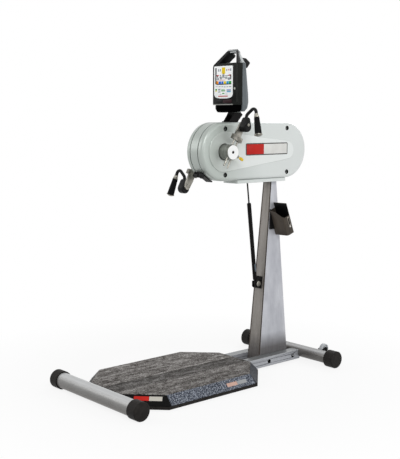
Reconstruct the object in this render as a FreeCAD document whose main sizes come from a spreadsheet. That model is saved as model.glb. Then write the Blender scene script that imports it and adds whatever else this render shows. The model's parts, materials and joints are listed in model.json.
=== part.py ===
import FreeCAD, Part
import Sketcher
import math
import os

# Arm ergometer: a standing platform with a tapered column, and a tilting crank head on top.
# Millimetres. +X is the user's right, +Y runs from the platform to the column, +Z is up.
# The origin is on the floor, under the middle of the whole object.

sizes = {
    # floor frame
    "frameHalf": 340.0,
    "frontTubeY": -660.0,
    "rearTubeY": 619.0,
    "tubeHeight": 43.5,
    "frontTubeRadius": 38.1,
    "rearTubeRadius": 31.75,
    "tubeWall": 3.0,
    "capRadius": 44.5,
    "capLength": 55.0,
    "capEnd": 8.0,
    "railInner": 46.5,
    "railSize": 50.0,
    "railBottom": 8.0,
    "railWall": 3.0,
    "railEndGap": 20.0,
    "boltFrontY": 365.0,
    "boltRearY": 544.0,
    "boltHeight": 32.0,
    "boltRadius": 6.0,
    "boltHeadRadius": 8.6,
    "boltPocketRadius": 9.6,
    "boltHeadLength": 12.0,
    # platform
    "deckHalf": 268.0,
    "deckFront": -613.0,
    "deckRear": 206.0,
    "deckCut": 148.0,
    "deckTop": 61.0,
    "deckFlare": 34.0,
    "deckSkirtTop": 22.0,
    "deckSkirtBottom": 6.0,
    "deckWall": 3.0,
    "deckNoseY": -618.0,
    "trimThick": 3.5,
    "trimBottom": 4.5,
    "trimTop": 19.0,
    "matThick": 3.2,
    "matInset": 1.5,
    "matSeam": 1.6,
    # column
    "basePlateFront": 333.0,
    "basePlateRear": 563.0,
    "basePlateThick": 6.0,
    "columnBottomHalf": 45.6,
    "columnBottomFront": 341.4,
    "columnBottomRear": 553.0,
    "columnTop": 980.0,
    "columnTopHalf": 30.0,
    "columnTopFront": 437.0,
    "columnTopRear": 472.0,
    "columnWall": 3.5,
    "pivotY": 455.0,
    "pivotHeight": 1070.0,
    "pivotPinRadius": 10.0,
    "earInner": 14.0,
    "earThick": 8.0,
    "earHalf": 21.0,
    "headPlateThick": 8.0,
    "bushRadius": 13.0,
    # gas spring
    "springFootY": 352.0,
    "springFootHeight": 440.0,
    "springLean": 6.69,
    "springLength": 584.0,
    "springTubeRadius": 10.75,
    "springTubeBottom": 16.0,
    "springTubeLength": 411.0,
    "springBoreRadius": 8.6,
    "springRodRadius": 4.0,
    "springRodGap": 0.1,
    "springPistonRadius": 8.3,
    "springPistonDepth": 60.0,
    "springEyeRadius": 10.0,
    "springEyeThick": 8.0,
    "springPinRadius": 4.0,
    "springEarThick": 5.0,
    "springEarGap": 2.0,
    "springStudGap": 0.4,
    "springForkFront": 13.0,
    "springForkBack": 18.0,
    "springForkLow": 26.0,
    "springForkHigh": 11.0,
    "springPlateHalf": 18.0,
    "springPlateHigh": 64.0,
    "springPlateThick": 12.0,
    "springPlateSeat": 5.0,
    "springStubRadius": 7.0,
    "springStubDrop": 6.0,
    "springTopY": 284.0,
    "springTopHeight": 1020.0,
    "runningGap": 0.05,
    # accessory pocket
    "pocketRearY": 509.0,
    "pocketFoot": 706.0,
    "pocketTaper": 0.01615,
    "pocketLean": 20.0,
    "pocketReach": 92.0,
    "pocketDeep": 46.0,
    "pocketThick": 2.0,
    "pocketRound": 14.0,
    "pocketBack": 166.0,
    "pocketFront": 138.0,
    # transport wheels
    "wheelX": 200.0,
    "wheelY": 676.5,
    "wheelHeight": 67.0,
    "wheelRadius": 28.0,
    "wheelHalf": 11.0,
    "axleRadius": 5.0,
    "wheelArmThick": 5.0,
    "wheelArmFoot": 12.5,
    "wheelArmEnd": 12.0,
    # head
    "crankY": 71.0,
    "crankHeight": 1136.0,
    "headSpan": 449.0,
    "headRadius": 145.0,
    "bandHalf": 25.0,
    "bandWall": 4.0,
    "plateThick": 6.0,
    "plateRadius": 140.6,
    "plateNotch": 310.0,
    "plateNotchTop": 112.0,
    "coverInner": 31.0,
    "coverDepth": 30.0,
    "coverWall": 3.5,
    "coverRound": 18.0,
    "embossFirst": 100.0,
    "embossSecond": 47.0,
    "embossSpan": 447.0,
    "embossHeight": 4.0,
    "shaftHoleRadius": 42.0,
    "screwSpan": 438.0,
    "screwShift": 8.0,
    "screwRise": 114.0,
    "screwBossRadius": 14.0,
    "screwHeadRadius": 6.6,
    "screwHoleRadius": 10.5,
    "screwPocket": 20.0,
    "screwRadius": 4.0,
    "screwHeadLength": 8.0,
    "screwSocketRadius": 3.0,
    "screwSocketDepth": 4.0,
    "badgeFront": 215.0,
    "badgeLength": 301.0,
    "badgeHigh": 61.0,
    "badgeBottom": 1114.5,
    "badgeThick": 1.4,
    "badgeRound": 7.0,
    "skirtFront": 170.0,
    "skirtRear": 518.0,
    "skirtHalf": 54.0,
    "skirtInner": 37.0,
    "skirtDrop": 17.0,
    # drive
    "shaftRadius": 15.0,
    "shaftHalf": 92.0,
    "bearingRadius": 26.0,
    "bearingWidth": 12.0,
    "pulleyRadius": 105.0,
    "pulleyHalf": 8.0,
    "pulleyHoleRadius": 15.0,
    "pulleyHoleRing": 60.0,
    "beltThick": 4.0,
    "beltHalf": 6.0,
    "beltGap": 0.3,
    "brakeY": 533.0,
    "brakeHeight": 1162.0,
    "brakePulleyRadius": 25.0,
    "brakeRotorRadius": 62.0,
    "brakeAxleRadius": 8.0,
    # cranks
    "hubStart": 36.0,
    "hubRadius": 38.0,
    "hubEnd": 118.0,
    "hubDiscRadius": 37.0,
    "hubDiscEnd": 126.0,
    "crankLean": 28.0,
    "armX": 113.0,
    "armRodRadius": 3.9,
    "armRodGap": 0.1,
    "armRodHalf": 12.5,
    "armTail": 80.0,
    "armBlockStart": 64.0,
    "armBlockHigh": 24.0,
    "armBlockHalf": 33.0,
    "armBlockThick": 18.0,
    "handleRadius": 150.0,
    "armNeckRadius": 15.0,
    "armTravel": 50.0,
    "armNeckHalf": 20.0,
    "armNeckTeeth": 24.0,
    "pullStem": 3.4,
    "pullStart": 16.9,
    "pullCollarStart": 30.0,
    "pullCollarEnd": 52.0,
    "pullCollarRadius": 8.0,
    "pullTip": 86.0,
    "pullKnobLength": 18.0,
    "pullKnobRadius": 7.5,
    # handles
    "handleBoltRadius": 5.0,
    "handleBoltHead": 2.5,
    "bootInner": 118.0,
    "bootOuter": 158.0,
    "bootFirst": 25.0,
    "bootSecond": 13.0,
    "bootSpan": 34.0,
    "bootDrop": 10.0,
    "bootRound": 7.0,
    "gripX": 210.0,
    "barX": 138.0,
    "barRadius": 8.0,
    "barFoot": 26.0,
    "barRise": 48.0,
    "barPeak": 92.0,
    "barBend": 20.0,
    "gripTop": 36.0,
    "gripLength": 84.0,
    "gripRadius": 16.0,
    "gripBoreGap": 0.1,
    "gripSlant": 17.0,
    "handleLean": 8.5,
    # console
    "consoleHalf": 84.0,
    "consoleFront": 136.0,
    "consoleSeam": 174.0,
    "consoleBottom": 1330.0,
    "consoleTop": 1572.0,
    "consoleRearLow": 217.0,
    "consoleRearHigh": 196.0,
    "consolePivotY": 193.0,
    "consolePivotHeight": 1352.0,
    "lipHeight": 1368.0,
    "domeHalf": 32.0,
    "archTop": 1645.0,
    "archBack": 186.0,
    "archLength": 84.0,
    "archHalf": 34.0,
    "archDeep": 20.0,
    "displayLeft": -77.0,
    "displayRight": 51.0,
    "displayTop": 1558.0,
    "displayBottom": 1402.0,
    "displayThick": 1.2,
    "buttonX": 67.0,
    "buttonHeight": 1447.0,
    "buttonRadius": 6.0,
    "buttonStand": 3.0,
    "buttonWell": 5.0,
    "handGapLow": 64.0,
    "handGapHigh": 24.0,
    "handGapTop": 1626.0,
    "neckHalf": 24.0,
    "neckFront": 139.0,
    "neckRear": 194.0,
    "neckWall": 4.0,
    "neckBoltRadius": 4.0,
    "neckBoltEnd": 15.0,
    # tilt lock
    "lockLean": 33.4,
    "lockPlateHalf": 45.0,
    "lockPlateThick": 5.0,
    "lockBarY": -38.0,
    "lockDrop": 16.5,
    "lockBarRadius": 5.0,
    "lockSleeveRadius": 10.0,
    "lockEarHalf": 10.0,
    "lockEarDrop": 9.0,
    "lockKnobRadius": 13.5,
}

# Lengths and angles that follow from the sizes above
sizes["wheelReach"] = math.hypot(sizes["wheelY"] - sizes["rearTubeY"], sizes["wheelHeight"] - sizes["tubeHeight"])
sizes["crankSin"] = math.sin(math.radians(sizes["crankLean"]))
sizes["crankCos"] = math.cos(math.radians(sizes["crankLean"]))
sizes["leanSin"] = math.sin(math.radians(sizes["handleLean"]))
sizes["leanCos"] = math.cos(math.radians(sizes["handleLean"]))
sizes["slantSin"] = math.sin(math.radians(sizes["gripSlant"]))
sizes["slantCos"] = math.cos(math.radians(sizes["gripSlant"]))
sizes["barPeakX"] = sizes["gripX"] - (sizes["barPeak"] - sizes["gripTop"]) * math.tan(math.radians(sizes["gripSlant"]))
sizes["columnSlope"] = (sizes["columnTopFront"] - sizes["columnBottomFront"]) / (
    sizes["columnTop"] - sizes["railBottom"] - sizes["basePlateThick"])

X = FreeCAD.Vector(1, 0, 0)
Y = FreeCAD.Vector(0, 1, 0)
Z = FreeCAD.Vector(0, 0, 1)
NO_TURN = FreeCAD.Rotation()
ALONG_X = FreeCAD.Rotation(Y, 90)
ALONG_Y = FreeCAD.Rotation(X, -90)
HALF_TURN = FreeCAD.Rotation(Z, 180)

document = FreeCAD.newDocument("ArmErgometer")
sheet = document.addObject("Spreadsheet::Sheet", "Sizes")
subParts = []


# Sizes, formulas and places

def fillSheet():
    for row, (name, number) in enumerate(sizes.items(), 1):
        sheet.set("A%d" % row, name)
        sheet.set("B%d" % row, str(number))
        sheet.setAlias("B%d" % row, name)
    document.recompute()


# A formula is a sum of terms with spaces round the signs; a term is names or numbers joined by "*".
def value(formula):
    total = 0.0
    sign = 1.0
    for word in formula.split():
        if word in ("+", "-"):
            sign = 1.0 if word == "+" else -1.0
            continue
        term = 1.0
        for factor in word.split("*"):
            term *= sizes[factor] if factor in sizes else float(factor)
        total += sign * term
    return total


def expression(formula):
    words = []
    for word in formula.split():
        factors = ["Sizes." + factor if factor in sizes else factor for factor in word.split("*")]
        words.append("*".join(factors))
    return " ".join(words)


def bind(thing, slot, formula):
    thing.setExpression(slot, expression(formula))


def place(thing, at, turn=NO_TURN):
    thing.Placement = FreeCAD.Placement(FreeCAD.Vector(*[value(text) for text in at]), turn)
    for axis, formula in zip("xyz", at):
        bind(thing, "Placement.Base." + axis, formula)


# Plain solids

def keep(thing, label):
    thing.Label = label
    subParts.append(thing)
    return thing


def cylinder(radius, length, at, turn=NO_TURN):
    rod = document.addObject("Part::Cylinder", "Cylinder")
    bind(rod, "Radius", radius)
    bind(rod, "Height", length)
    place(rod, at, turn)
    return rod


def block(lengths, at, turn=NO_TURN):
    box = document.addObject("Part::Box", "Block")
    for slot, formula in zip(("Length", "Width", "Height"), lengths):
        bind(box, slot, formula)
    place(box, at, turn)
    return box


def joined(parts, name="Joined"):
    union = document.addObject("Part::MultiFuse", name)
    union.Shapes = parts
    union.Refine = True
    return union


def cut(base, tools, name="Cut"):
    tool = tools[0] if len(tools) == 1 else joined(tools)
    result = document.addObject("Part::Cut", name)
    result.Base = base
    result.Tool = tool
    result.Refine = True
    return result


# Solids that stay apart inside one sub-part
def grouped(parts, label):
    group = document.addObject("Part::Compound", label)
    group.Links = parts
    return keep(group, label)


# Bodies with sketches

def newBody(label, at=("0", "0", "0"), turn=NO_TURN, kept=True):
    body = document.addObject("PartDesign::Body", label)
    place(body, at, turn)
    body.Label = label
    if kept:
        subParts.append(body)
    return body


def newSketch(body, role, lift="0"):
    sketch = body.newObject("Sketcher::SketchObject", "Sketch")
    plane = [feature for feature in body.Origin.OriginFeatures if feature.Role == role][0]
    sketch.AttachmentSupport = [(plane, "")]
    sketch.MapMode = "FlatFace"
    if lift != "0":
        sketch.AttachmentOffset = FreeCAD.Placement(FreeCAD.Vector(0, 0, value(lift)), NO_TURN)
        bind(sketch, "AttachmentOffset.Base.z", lift)
    return sketch


def hold(sketch, item, spot, across, along):
    for kind, formula in (("DistanceX", across), ("DistanceY", along)):
        number = sketch.addConstraint(Sketcher.Constraint(kind, -1, 1, item, spot, value(formula)))
        bind(sketch, "Constraints[%d]" % number, formula)


def drawOutline(sketch, corners):
    first = sketch.GeometryCount
    count = len(corners)
    spots = [FreeCAD.Vector(value(across), value(along), 0) for across, along in corners]
    for index in range(count):
        sketch.addGeometry(Part.LineSegment(spots[index], spots[(index + 1) % count]), False)
    for index in range(count):
        following = first + (index + 1) % count
        sketch.addConstraint(Sketcher.Constraint("Coincident", first + index, 2, following, 1))
    for index, (across, along) in enumerate(corners):
        hold(sketch, first + index, 1, across, along)


def rectangle(left, bottom, right, top):
    return [(left, bottom), (right, bottom), (right, top), (left, top)]


def drawCircle(sketch, radius, across="0", along="0"):
    centre = FreeCAD.Vector(value(across), value(along), 0)
    item = sketch.addGeometry(Part.Circle(centre, Z, value(radius)), False)
    number = sketch.addConstraint(Sketcher.Constraint("Radius", item, value(radius)))
    bind(sketch, "Constraints[%d]" % number, radius)
    hold(sketch, item, 3, across, along)


# Two round ends joined by tangent lines; the first end is centred at (across, along),
# and the second one is span further along the sketch's first axis.
def drawLoop(sketch, firstRadius, secondRadius, span, across="0", along="0"):
    start = FreeCAD.Vector(value(across), value(along), 0)
    end = start + FreeCAD.Vector(value(span), 0, 0)
    lean = math.acos((value(firstRadius) - value(secondRadius)) / value(span))
    firstArc = Part.ArcOfCircle(Part.Circle(start, Z, value(firstRadius)), lean, 2 * math.pi - lean)
    secondArc = Part.ArcOfCircle(Part.Circle(end, Z, value(secondRadius)), -lean, lean)
    under = Part.LineSegment(firstArc.EndPoint, secondArc.StartPoint)
    over = Part.LineSegment(secondArc.EndPoint, firstArc.StartPoint)
    items = [sketch.addGeometry(item, False) for item in (firstArc, under, secondArc, over)]
    for item, following in zip(items, items[1:] + items[:1]):
        sketch.addConstraint(Sketcher.Constraint("Tangent", item, 2, following, 1))
    for item, radius in ((items[0], firstRadius), (items[2], secondRadius)):
        number = sketch.addConstraint(Sketcher.Constraint("Radius", item, value(radius)))
        bind(sketch, "Constraints[%d]" % number, radius)
    hold(sketch, items[0], 3, across, along)
    hold(sketch, items[2], 3, across + " + " + span, along)


def extrude(body, sketch, length, kind="Pad", backwards=False, bothWays=False):
    feature = body.newObject("PartDesign::" + kind, kind)
    feature.Profile = sketch
    if bothWays:
        feature.SideType = "Symmetric"
    feature.Reversed = backwards
    bind(feature, "Length", length)
    return feature


def loft(body, lower, upper, kind="AdditiveLoft"):
    feature = body.newObject("PartDesign::" + kind, kind)
    feature.Profile = lower
    feature.Sections = [upper]
    return feature


def fillet(body, feature, radius, chosen):
    document.recompute()
    names = ["Edge%d" % number for number, edge in enumerate(feature.Shape.Edges, 1) if chosen(edge)]
    rounding = body.newObject("PartDesign::Fillet", "Fillet")
    rounding.Base = (feature, names)
    bind(rounding, "Radius", radius)
    return rounding


def chamfer(body, feature, size, chosen):
    document.recompute()
    names = ["Edge%d" % number for number, edge in enumerate(feature.Shape.Edges, 1) if chosen(edge)]
    bevel = body.newObject("PartDesign::Chamfer", "Chamfer")
    bevel.Base = (feature, names)
    bind(bevel, "Size", size)
    return bevel


# A turned piece: its profile gives (distance along the axis, radius) pairs.
def turned(label, axis, profile, at, turn=NO_TURN, kept=True):
    body = newBody(label, at, turn, kept)
    if axis == "X":
        sketch = newSketch(body, "XY_Plane")
        drawOutline(sketch, profile)
        line = "H_Axis"
    else:
        sketch = newSketch(body, "XZ_Plane")
        drawOutline(sketch, [(radius, along) for along, radius in profile])
        line = "V_Axis"
    revolution = body.newObject("PartDesign::Revolution", "Revolution")
    revolution.Profile = sketch
    revolution.ReferenceAxis = (sketch, [line])
    revolution.Angle = 360
    return body


def sideName(side):
    return "right" if side > 0 else "left"


def signed(side, formula):
    words = formula.split()
    if side > 0:
        return formula
    flipped = []
    if words[0] not in ("+", "-"):
        words = ["+"] + words
    for word in words:
        flipped.append({"+": "-", "-": "+"}.get(word, word))
    return " ".join(flipped)


# Floor frame

def makeCrossTube(label, radius, along):
    length = "2*frameHalf - 2*capEnd"
    low = "- frameHalf + capEnd"
    outer = cylinder(radius, length, (low, along, "tubeHeight"), ALONG_X)
    inner = cylinder(radius + " - tubeWall", length, (low, along, "tubeHeight"), ALONG_X)
    keep(cut(outer, [inner], label), label)


# Rubber end caps, each with a narrow flat to stand on
def makeFootCaps(label, radius, along):
    caps = []
    for side in (1, -1):
        profile = [
            ("0", "0"), ("0", "capRadius - 3"), ("- 3", "capRadius"), ("- capLength", "capRadius"),
            ("- capLength", radius), ("- capEnd", radius), ("- capEnd", "0"),
        ]
        at = (signed(side, "frameHalf"), along, "tubeHeight")
        round_ = turned(label + sideName(side), "X", profile, at, NO_TURN if side > 0 else HALF_TURN, False)
        below = block(("2*capLength", "2*capRadius", "capRadius"),
                      (signed(side, "frameHalf") + " - capLength", along + " - capRadius", "- capRadius"))
        caps.append(cut(round_, [below]))
    grouped(caps, label)


# Square tubes under the platform, coped round both cross tubes, with the column's bolt holes
def makeRail(side):
    low = "railInner" if side > 0 else "- railInner - railSize"
    inner = "railInner" if side > 0 else "- railInner - railWall"
    outer = "railInner + railSize - railWall" if side > 0 else "- railInner - railSize"
    length = "rearTubeY - frontTubeY - railEndGap"
    rail = block(("railSize", length, "railSize"), (low, "frontTubeY", "railBottom"))
    hollow = block(("railSize - 2*railWall", length + " + 2", "railSize - 2*railWall"),
                   (low + " + railWall", "frontTubeY - 1", "railBottom + railWall"))
    tools = [hollow]
    for radius, along in (("frontTubeRadius", "frontTubeY"), ("rearTubeRadius", "rearTubeY")):
        tools.append(cylinder(radius, "2*frameHalf", ("- frameHalf", along, "tubeHeight"), ALONG_X))
    for along in ("boltFrontY", "boltRearY"):
        tools.append(cylinder("boltRadius", "3*railWall", (inner + " - railWall", along, "boltHeight"), ALONG_X))
        tools.append(cylinder("boltPocketRadius", "3*railWall", (outer + " - railWall", along, "boltHeight"),
                              ALONG_X))
    label = "rail_" + sideName(side)
    keep(cut(rail, tools, label), label)


# Two through bolts, each with a head and a nut inside the rails
def makeColumnBolts():
    bolts = []
    for along in ("boltFrontY", "boltRearY"):
        shank = cylinder("boltRadius", "2*railInner + 2*railWall", ("- railInner - railWall", along, "boltHeight"),
                         ALONG_X)
        pieces = [shank]
        for start in ("railInner + railWall", "- railInner - railWall - boltHeadLength"):
            pieces.append(cylinder("boltHeadRadius", "boltHeadLength", (start, along, "boltHeight"), ALONG_X))
        bolts.append(joined(pieces))
    grouped(bolts, "column_bolts")


# Platform

# An eight-sided outline with 45 degree corners, grown outwards from the deck's top edge.
# Each corner point moves by 0.414 of the growth along its own side.
def octagon(*growth):
    terms = " + ".join(("deckHalf",) + growth)
    corner = " + ".join("0.414*" + term for term in growth)
    frontCut = "deckFront + deckCut " + signed(-1, corner)
    rearCut = "deckRear - deckCut + " + corner
    across = "deckHalf - deckCut + " + corner
    front = "deckFront " + signed(-1, " + ".join(growth))
    rear = "deckRear + " + " + ".join(growth)
    right = [(across, front), (terms, frontCut), (terms, rearCut), (across, rear)]
    left = [(signed(-1, far), along) for far, along in reversed(right)]
    return right + left


def makeDeck():
    body = newBody("platform_deck")
    skirt = newSketch(body, "XY_Plane", "deckSkirtTop")
    drawOutline(skirt, octagon("deckFlare"))
    top = newSketch(body, "XY_Plane", "deckTop")
    drawOutline(top, octagon("0*deckFlare"))
    loft(body, skirt, top)
    lower = newSketch(body, "XY_Plane", "deckSkirtBottom")
    drawOutline(lower, octagon("deckFlare"))
    extrude(body, lower, "deckSkirtTop - deckSkirtBottom")
    hollow = newSketch(body, "XY_Plane", "deckSkirtTop")
    drawOutline(hollow, octagon("deckFlare", "-1*deckWall"))
    roof = newSketch(body, "XY_Plane", "deckTop - deckWall")
    drawOutline(roof, octagon("-1*deckWall"))
    loft(body, hollow, roof, "SubtractiveLoft")
    under = newSketch(body, "XY_Plane", "deckSkirtTop")
    drawOutline(under, octagon("deckFlare", "-1*deckWall"))
    extrude(body, under, "deckSkirtTop", "Pocket")
    notchDeck(body, "railBottom + railSize")


# Cut the rails' openings and the straight nose beside the front tube
def notchDeck(body, height):
    notch = newSketch(body, "XY_Plane", height)
    drawOutline(notch, rectangle("- railInner - railSize - 1", "deckFront - deckHalf",
                                 "railInner + railSize + 1", "deckRear + deckHalf"))
    extrude(body, notch, height, "Pocket")
    nose = newSketch(body, "XY_Plane", "deckTop")
    drawOutline(nose, rectangle("- frameHalf", "deckFront - deckHalf", "frameHalf", "deckNoseY"))
    extrude(body, nose, "deckTop", "Pocket")


# Rubber edging round the lower edge of the platform
def makeDeckTrim():
    body = newBody("deck_edge_trim")
    sketch = newSketch(body, "XY_Plane", "trimBottom")
    drawOutline(sketch, octagon("deckFlare", "trimThick"))
    drawOutline(sketch, octagon("deckFlare"))
    extrude(body, sketch, "trimTop - trimBottom")
    notchDeck(body, "trimTop")


# Two rubber mats that meet in a narrow seam along the middle of the deck
def makeMat(side):
    body = newBody("mat_" + sideName(side))
    edge = "deckHalf - matInset"
    cutX = "deckHalf - deckCut - 0.414*matInset"
    corners = [
        ("matSeam", "deckFront + matInset"),
        (cutX, "deckFront + matInset"),
        (edge, "deckFront + deckCut + 0.414*matInset"),
        (edge, "deckRear - deckCut - 0.414*matInset"),
        (cutX, "deckRear - matInset"),
        ("matSeam", "deckRear - matInset"),
    ]
    sketch = newSketch(body, "XY_Plane", "deckTop")
    drawOutline(sketch, [(signed(side, across), along) for across, along in corners])
    mat = extrude(body, sketch, "matThick")
    top = value("deckTop + matThick")
    fillet(body, mat, "0.4*matThick", lambda edge_: edge_.BoundBox.ZMin > top - 0.01)


# Column

def makeBasePlate():
    plate = block(("2*railInner", "basePlateRear - basePlateFront", "basePlateThick"),
                  ("- railInner", "basePlateFront", "railBottom"))
    keep(plate, "column_base_plate")


# A block that tapers upwards on all four sides, from (half width, front, rear) below to the same above,
# with every side drawn inwards by inset
def taperedBlock(low, high, inset):
    wedge = document.addObject("Part::Wedge", "Taper")
    for prefix, (half, front, rear) in (("", low), ("2", high)):
        bind(wedge, "X%smin" % prefix, "- " + half + " + " + inset)
        bind(wedge, "X%smax" % prefix, half + " - " + inset)
        bind(wedge, "Z%smin" % prefix, "- " + rear + " + " + inset)
        bind(wedge, "Z%smax" % prefix, "- " + front + " - " + inset)
    bind(wedge, "Ymin", "railBottom + basePlateThick")
    bind(wedge, "Ymax", "columnTop")
    place(wedge, ("0", "0", "0"), FreeCAD.Rotation(X, 90))
    return wedge


def columnBlock(inset):
    return taperedBlock(("columnBottomHalf", "columnBottomFront", "columnBottomRear"),
                        ("columnTopHalf", "columnTopFront", "columnTopRear"), inset)


# A folded sheet box that tapers on all four sides, open at both ends
def makeColumn():
    tools = [columnBlock("columnWall")]
    for along in ("boltFrontY", "boltRearY"):
        tools.append(cylinder("boltRadius", "4*columnBottomHalf", ("-2*columnBottomHalf", along, "boltHeight"),
                              ALONG_X))
    keep(cut(columnBlock("0"), tools, "column"), "column")


# The fork on top of the column that carries the head's tilt pin
def makeColumnHead():
    body = newBody("column_head")
    plate = newSketch(body, "XY_Plane", "columnTop")
    drawOutline(plate, rectangle("- earInner - earThick", "columnTopFront", "earInner + earThick", "columnTopRear"))
    extrude(body, plate, "headPlateThick")
    base = "columnTop + headPlateThick"
    for side in (1, -1):
        ear = newSketch(body, "YZ_Plane", signed(side, "earInner"))
        half = "earHalf"
        drawOutline(ear, [
            ("columnTopFront", base), ("columnTopRear", base),
            ("pivotY + " + half, "pivotHeight - " + half), ("pivotY + " + half, "pivotHeight + 0.4*earHalf"),
            ("pivotY + 0.4*earHalf", "pivotHeight + " + half), ("pivotY - 0.4*earHalf", "pivotHeight + " + half),
            ("pivotY - " + half, "pivotHeight + 0.4*earHalf"), ("pivotY - " + half, "pivotHeight - " + half),
        ])
        extrude(body, ear, "earThick", backwards=side < 0)
    bore = newSketch(body, "YZ_Plane")
    drawCircle(bore, "bushRadius", "pivotY", "pivotHeight")
    extrude(body, bore, "4*earInner", "Pocket", bothWays=True)


def makePivotBushes():
    bushes = []
    for side in (1, -1):
        start = "earInner" if side > 0 else "- earInner - earThick"
        outer = cylinder("bushRadius", "earThick", (start, "pivotY", "pivotHeight"), ALONG_X)
        inner = cylinder("pivotPinRadius + runningGap", "earThick", (start, "pivotY", "pivotHeight"), ALONG_X)
        bushes.append(cut(outer, [inner]))
    grouped(bushes, "pivot_bushes")


# Gas spring

# A plate on the column's front face, a short stub, and a fork with the spring's lower pin
def makeSpringFoot():
    y, height = "springFootY", "springFootHeight"
    body = newBody("SpringFork", ("0", y, height), kept=False)
    web = newSketch(body, "YZ_Plane")
    drawOutline(web, rectangle("springForkBack - springEarThick", "- springForkLow", "springForkBack", "springForkHigh"))
    extrude(body, web, "springEyeThick + 2*springEarGap", bothWays=True)
    for side in (1, -1):
        cheek = newSketch(body, "YZ_Plane", signed(side, "0.5*springEyeThick + springEarGap"))
        drawOutline(cheek, [
            ("- springForkFront", "- springForkLow + 8"), ("- springForkFront + 8", "- springForkLow"),
            ("springForkBack", "- springForkLow"), ("springForkBack", "springForkHigh"),
            ("- springForkFront", "springForkHigh"),
        ])
        extrude(body, cheek, "springEarThick", backwards=side < 0)
    pin = newSketch(body, "YZ_Plane")
    drawCircle(pin, "springPinRadius")
    extrude(body, pin, "4*springEyeThick", bothWays=True)
    stub = newSketch(body, "XZ_Plane", "- springForkBack")
    drawCircle(stub, "springStubRadius", "0", "- springStubDrop")
    extrude(body, stub, "springForkBack", backwards=True)
    foot = "columnBottomFront + columnSlope*springFootHeight - 0.5*columnSlope*springPlateHigh"
    face = foot + " - columnSlope*railBottom - columnSlope*basePlateThick"
    lean = math.degrees(math.atan(sizes["columnSlope"]))
    plate = block(("2*springPlateHalf", "springPlateThick", "springPlateHigh"),
                  ("- springPlateHalf", face + " - springPlateSeat", height + " - 0.5*springPlateHigh"),
                  FreeCAD.Rotation(X, -lean))
    keep(cut(joined([body, plate]), [columnBlock("0")], "spring_lower_bracket"), "spring_lower_bracket")


def springTurn():
    return FreeCAD.Rotation(X, sizes["springLean"])


# The black tube, hollow for its piston, with its lower eye
def makeGasCylinder():
    profile = [
        ("springTubeBottom", "0"), ("springTubeBottom", "springTubeRadius - 2"),
        ("springTubeBottom + 2", "springTubeRadius"),
        ("springTubeBottom + springTubeLength - 2", "springTubeRadius"),
        ("springTubeBottom + springTubeLength", "springTubeRadius - 2"),
        ("springTubeBottom + springTubeLength", "springRodRadius + springRodGap"),
        ("springTubeBottom + springTubeLength - 12", "springRodRadius + springRodGap"),
        ("springTubeBottom + springTubeLength - 12", "springBoreRadius"),
        ("springTubeBottom + 12", "springBoreRadius"), ("springTubeBottom + 12", "0"),
    ]
    at = ("0", "springFootY", "springFootHeight")
    tube = turned("SpringTube", "Z", profile, at, springTurn(), False)
    eye = cylinder("springEyeRadius", "springEyeThick", ("- 0.5*springEyeThick", at[1], at[2]), ALONG_X)
    neck = cylinder("0.6*springEyeRadius", "springTubeBottom + 2", at, springTurn())
    hole = cylinder("springPinRadius + runningGap", "2*springEyeThick", ("- springEyeThick", at[1], at[2]), ALONG_X)
    slab = block(("springEyeThick", "40", "40"), ("- 0.5*springEyeThick", "springFootY - 20",
                                                  "springFootHeight - 12"))
    flatNeck = document.addObject("Part::Common", "SpringNeck")
    flatNeck.Base = neck
    flatNeck.Tool = slab
    keep(cut(joined([tube, eye, flatNeck]), [hole], "gas_cylinder"), "gas_cylinder")


# The bright rod with its piston inside the tube and an eye at its upper end
def makeGasRod():
    low = "springTubeBottom + springTubeLength - springPistonDepth - 12"
    profile = [
        (low, "0"), (low, "springPistonRadius"), (low + " + 10", "springPistonRadius"),
        (low + " + 10", "springRodRadius"), ("springLength - springEyeRadius - 8", "springRodRadius"),
        ("springLength - springEyeRadius - 8", "1.6*springRodRadius"),
        ("springLength - 0.5*springEyeRadius", "1.6*springRodRadius"), ("springLength - 0.5*springEyeRadius", "0"),
    ]
    rod = turned("SpringRod", "Z", profile, ("0", "springFootY", "springFootHeight"), springTurn(), False)
    at = ("- 0.5*springEyeThick", "springTopY", "springTopHeight")
    eye = cylinder("springEyeRadius", "springEyeThick", at, ALONG_X)
    hole = cylinder("springPinRadius + 1", "3*springEyeThick", ("- 1.5*springEyeThick", at[1], at[2]), ALONG_X)
    keep(cut(joined([rod, eye]), [hole], "gas_rod"), "gas_rod")


# A cross bar between the head's plates, with two ears and a stud in each
def makeSpringTop():
    y, height = "springTopY", "springTopHeight"
    pieces = [block(("2*bandHalf", "40", "6"), ("- bandHalf", y + " - 20", height + " + 28"))]
    for side in (1, -1):
        start = "0.5*springEyeThick + 2*springEarGap" if side > 0 else "- 0.5*springEyeThick - 2*springEarGap - 6"
        pieces.append(block(("6", "24", "40"), (start, y + " - 12", height + " - 10")))
        stud = "0.5*springEyeThick + springStudGap" if side > 0 else "- 0.5*springEyeThick - 2*springEarGap"
        pieces.append(cylinder("springPinRadius", "2*springEarGap - springStudGap", (stud, y, height), ALONG_X))
    keep(joined(pieces, "spring_top_bracket"), "spring_top_bracket")


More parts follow.
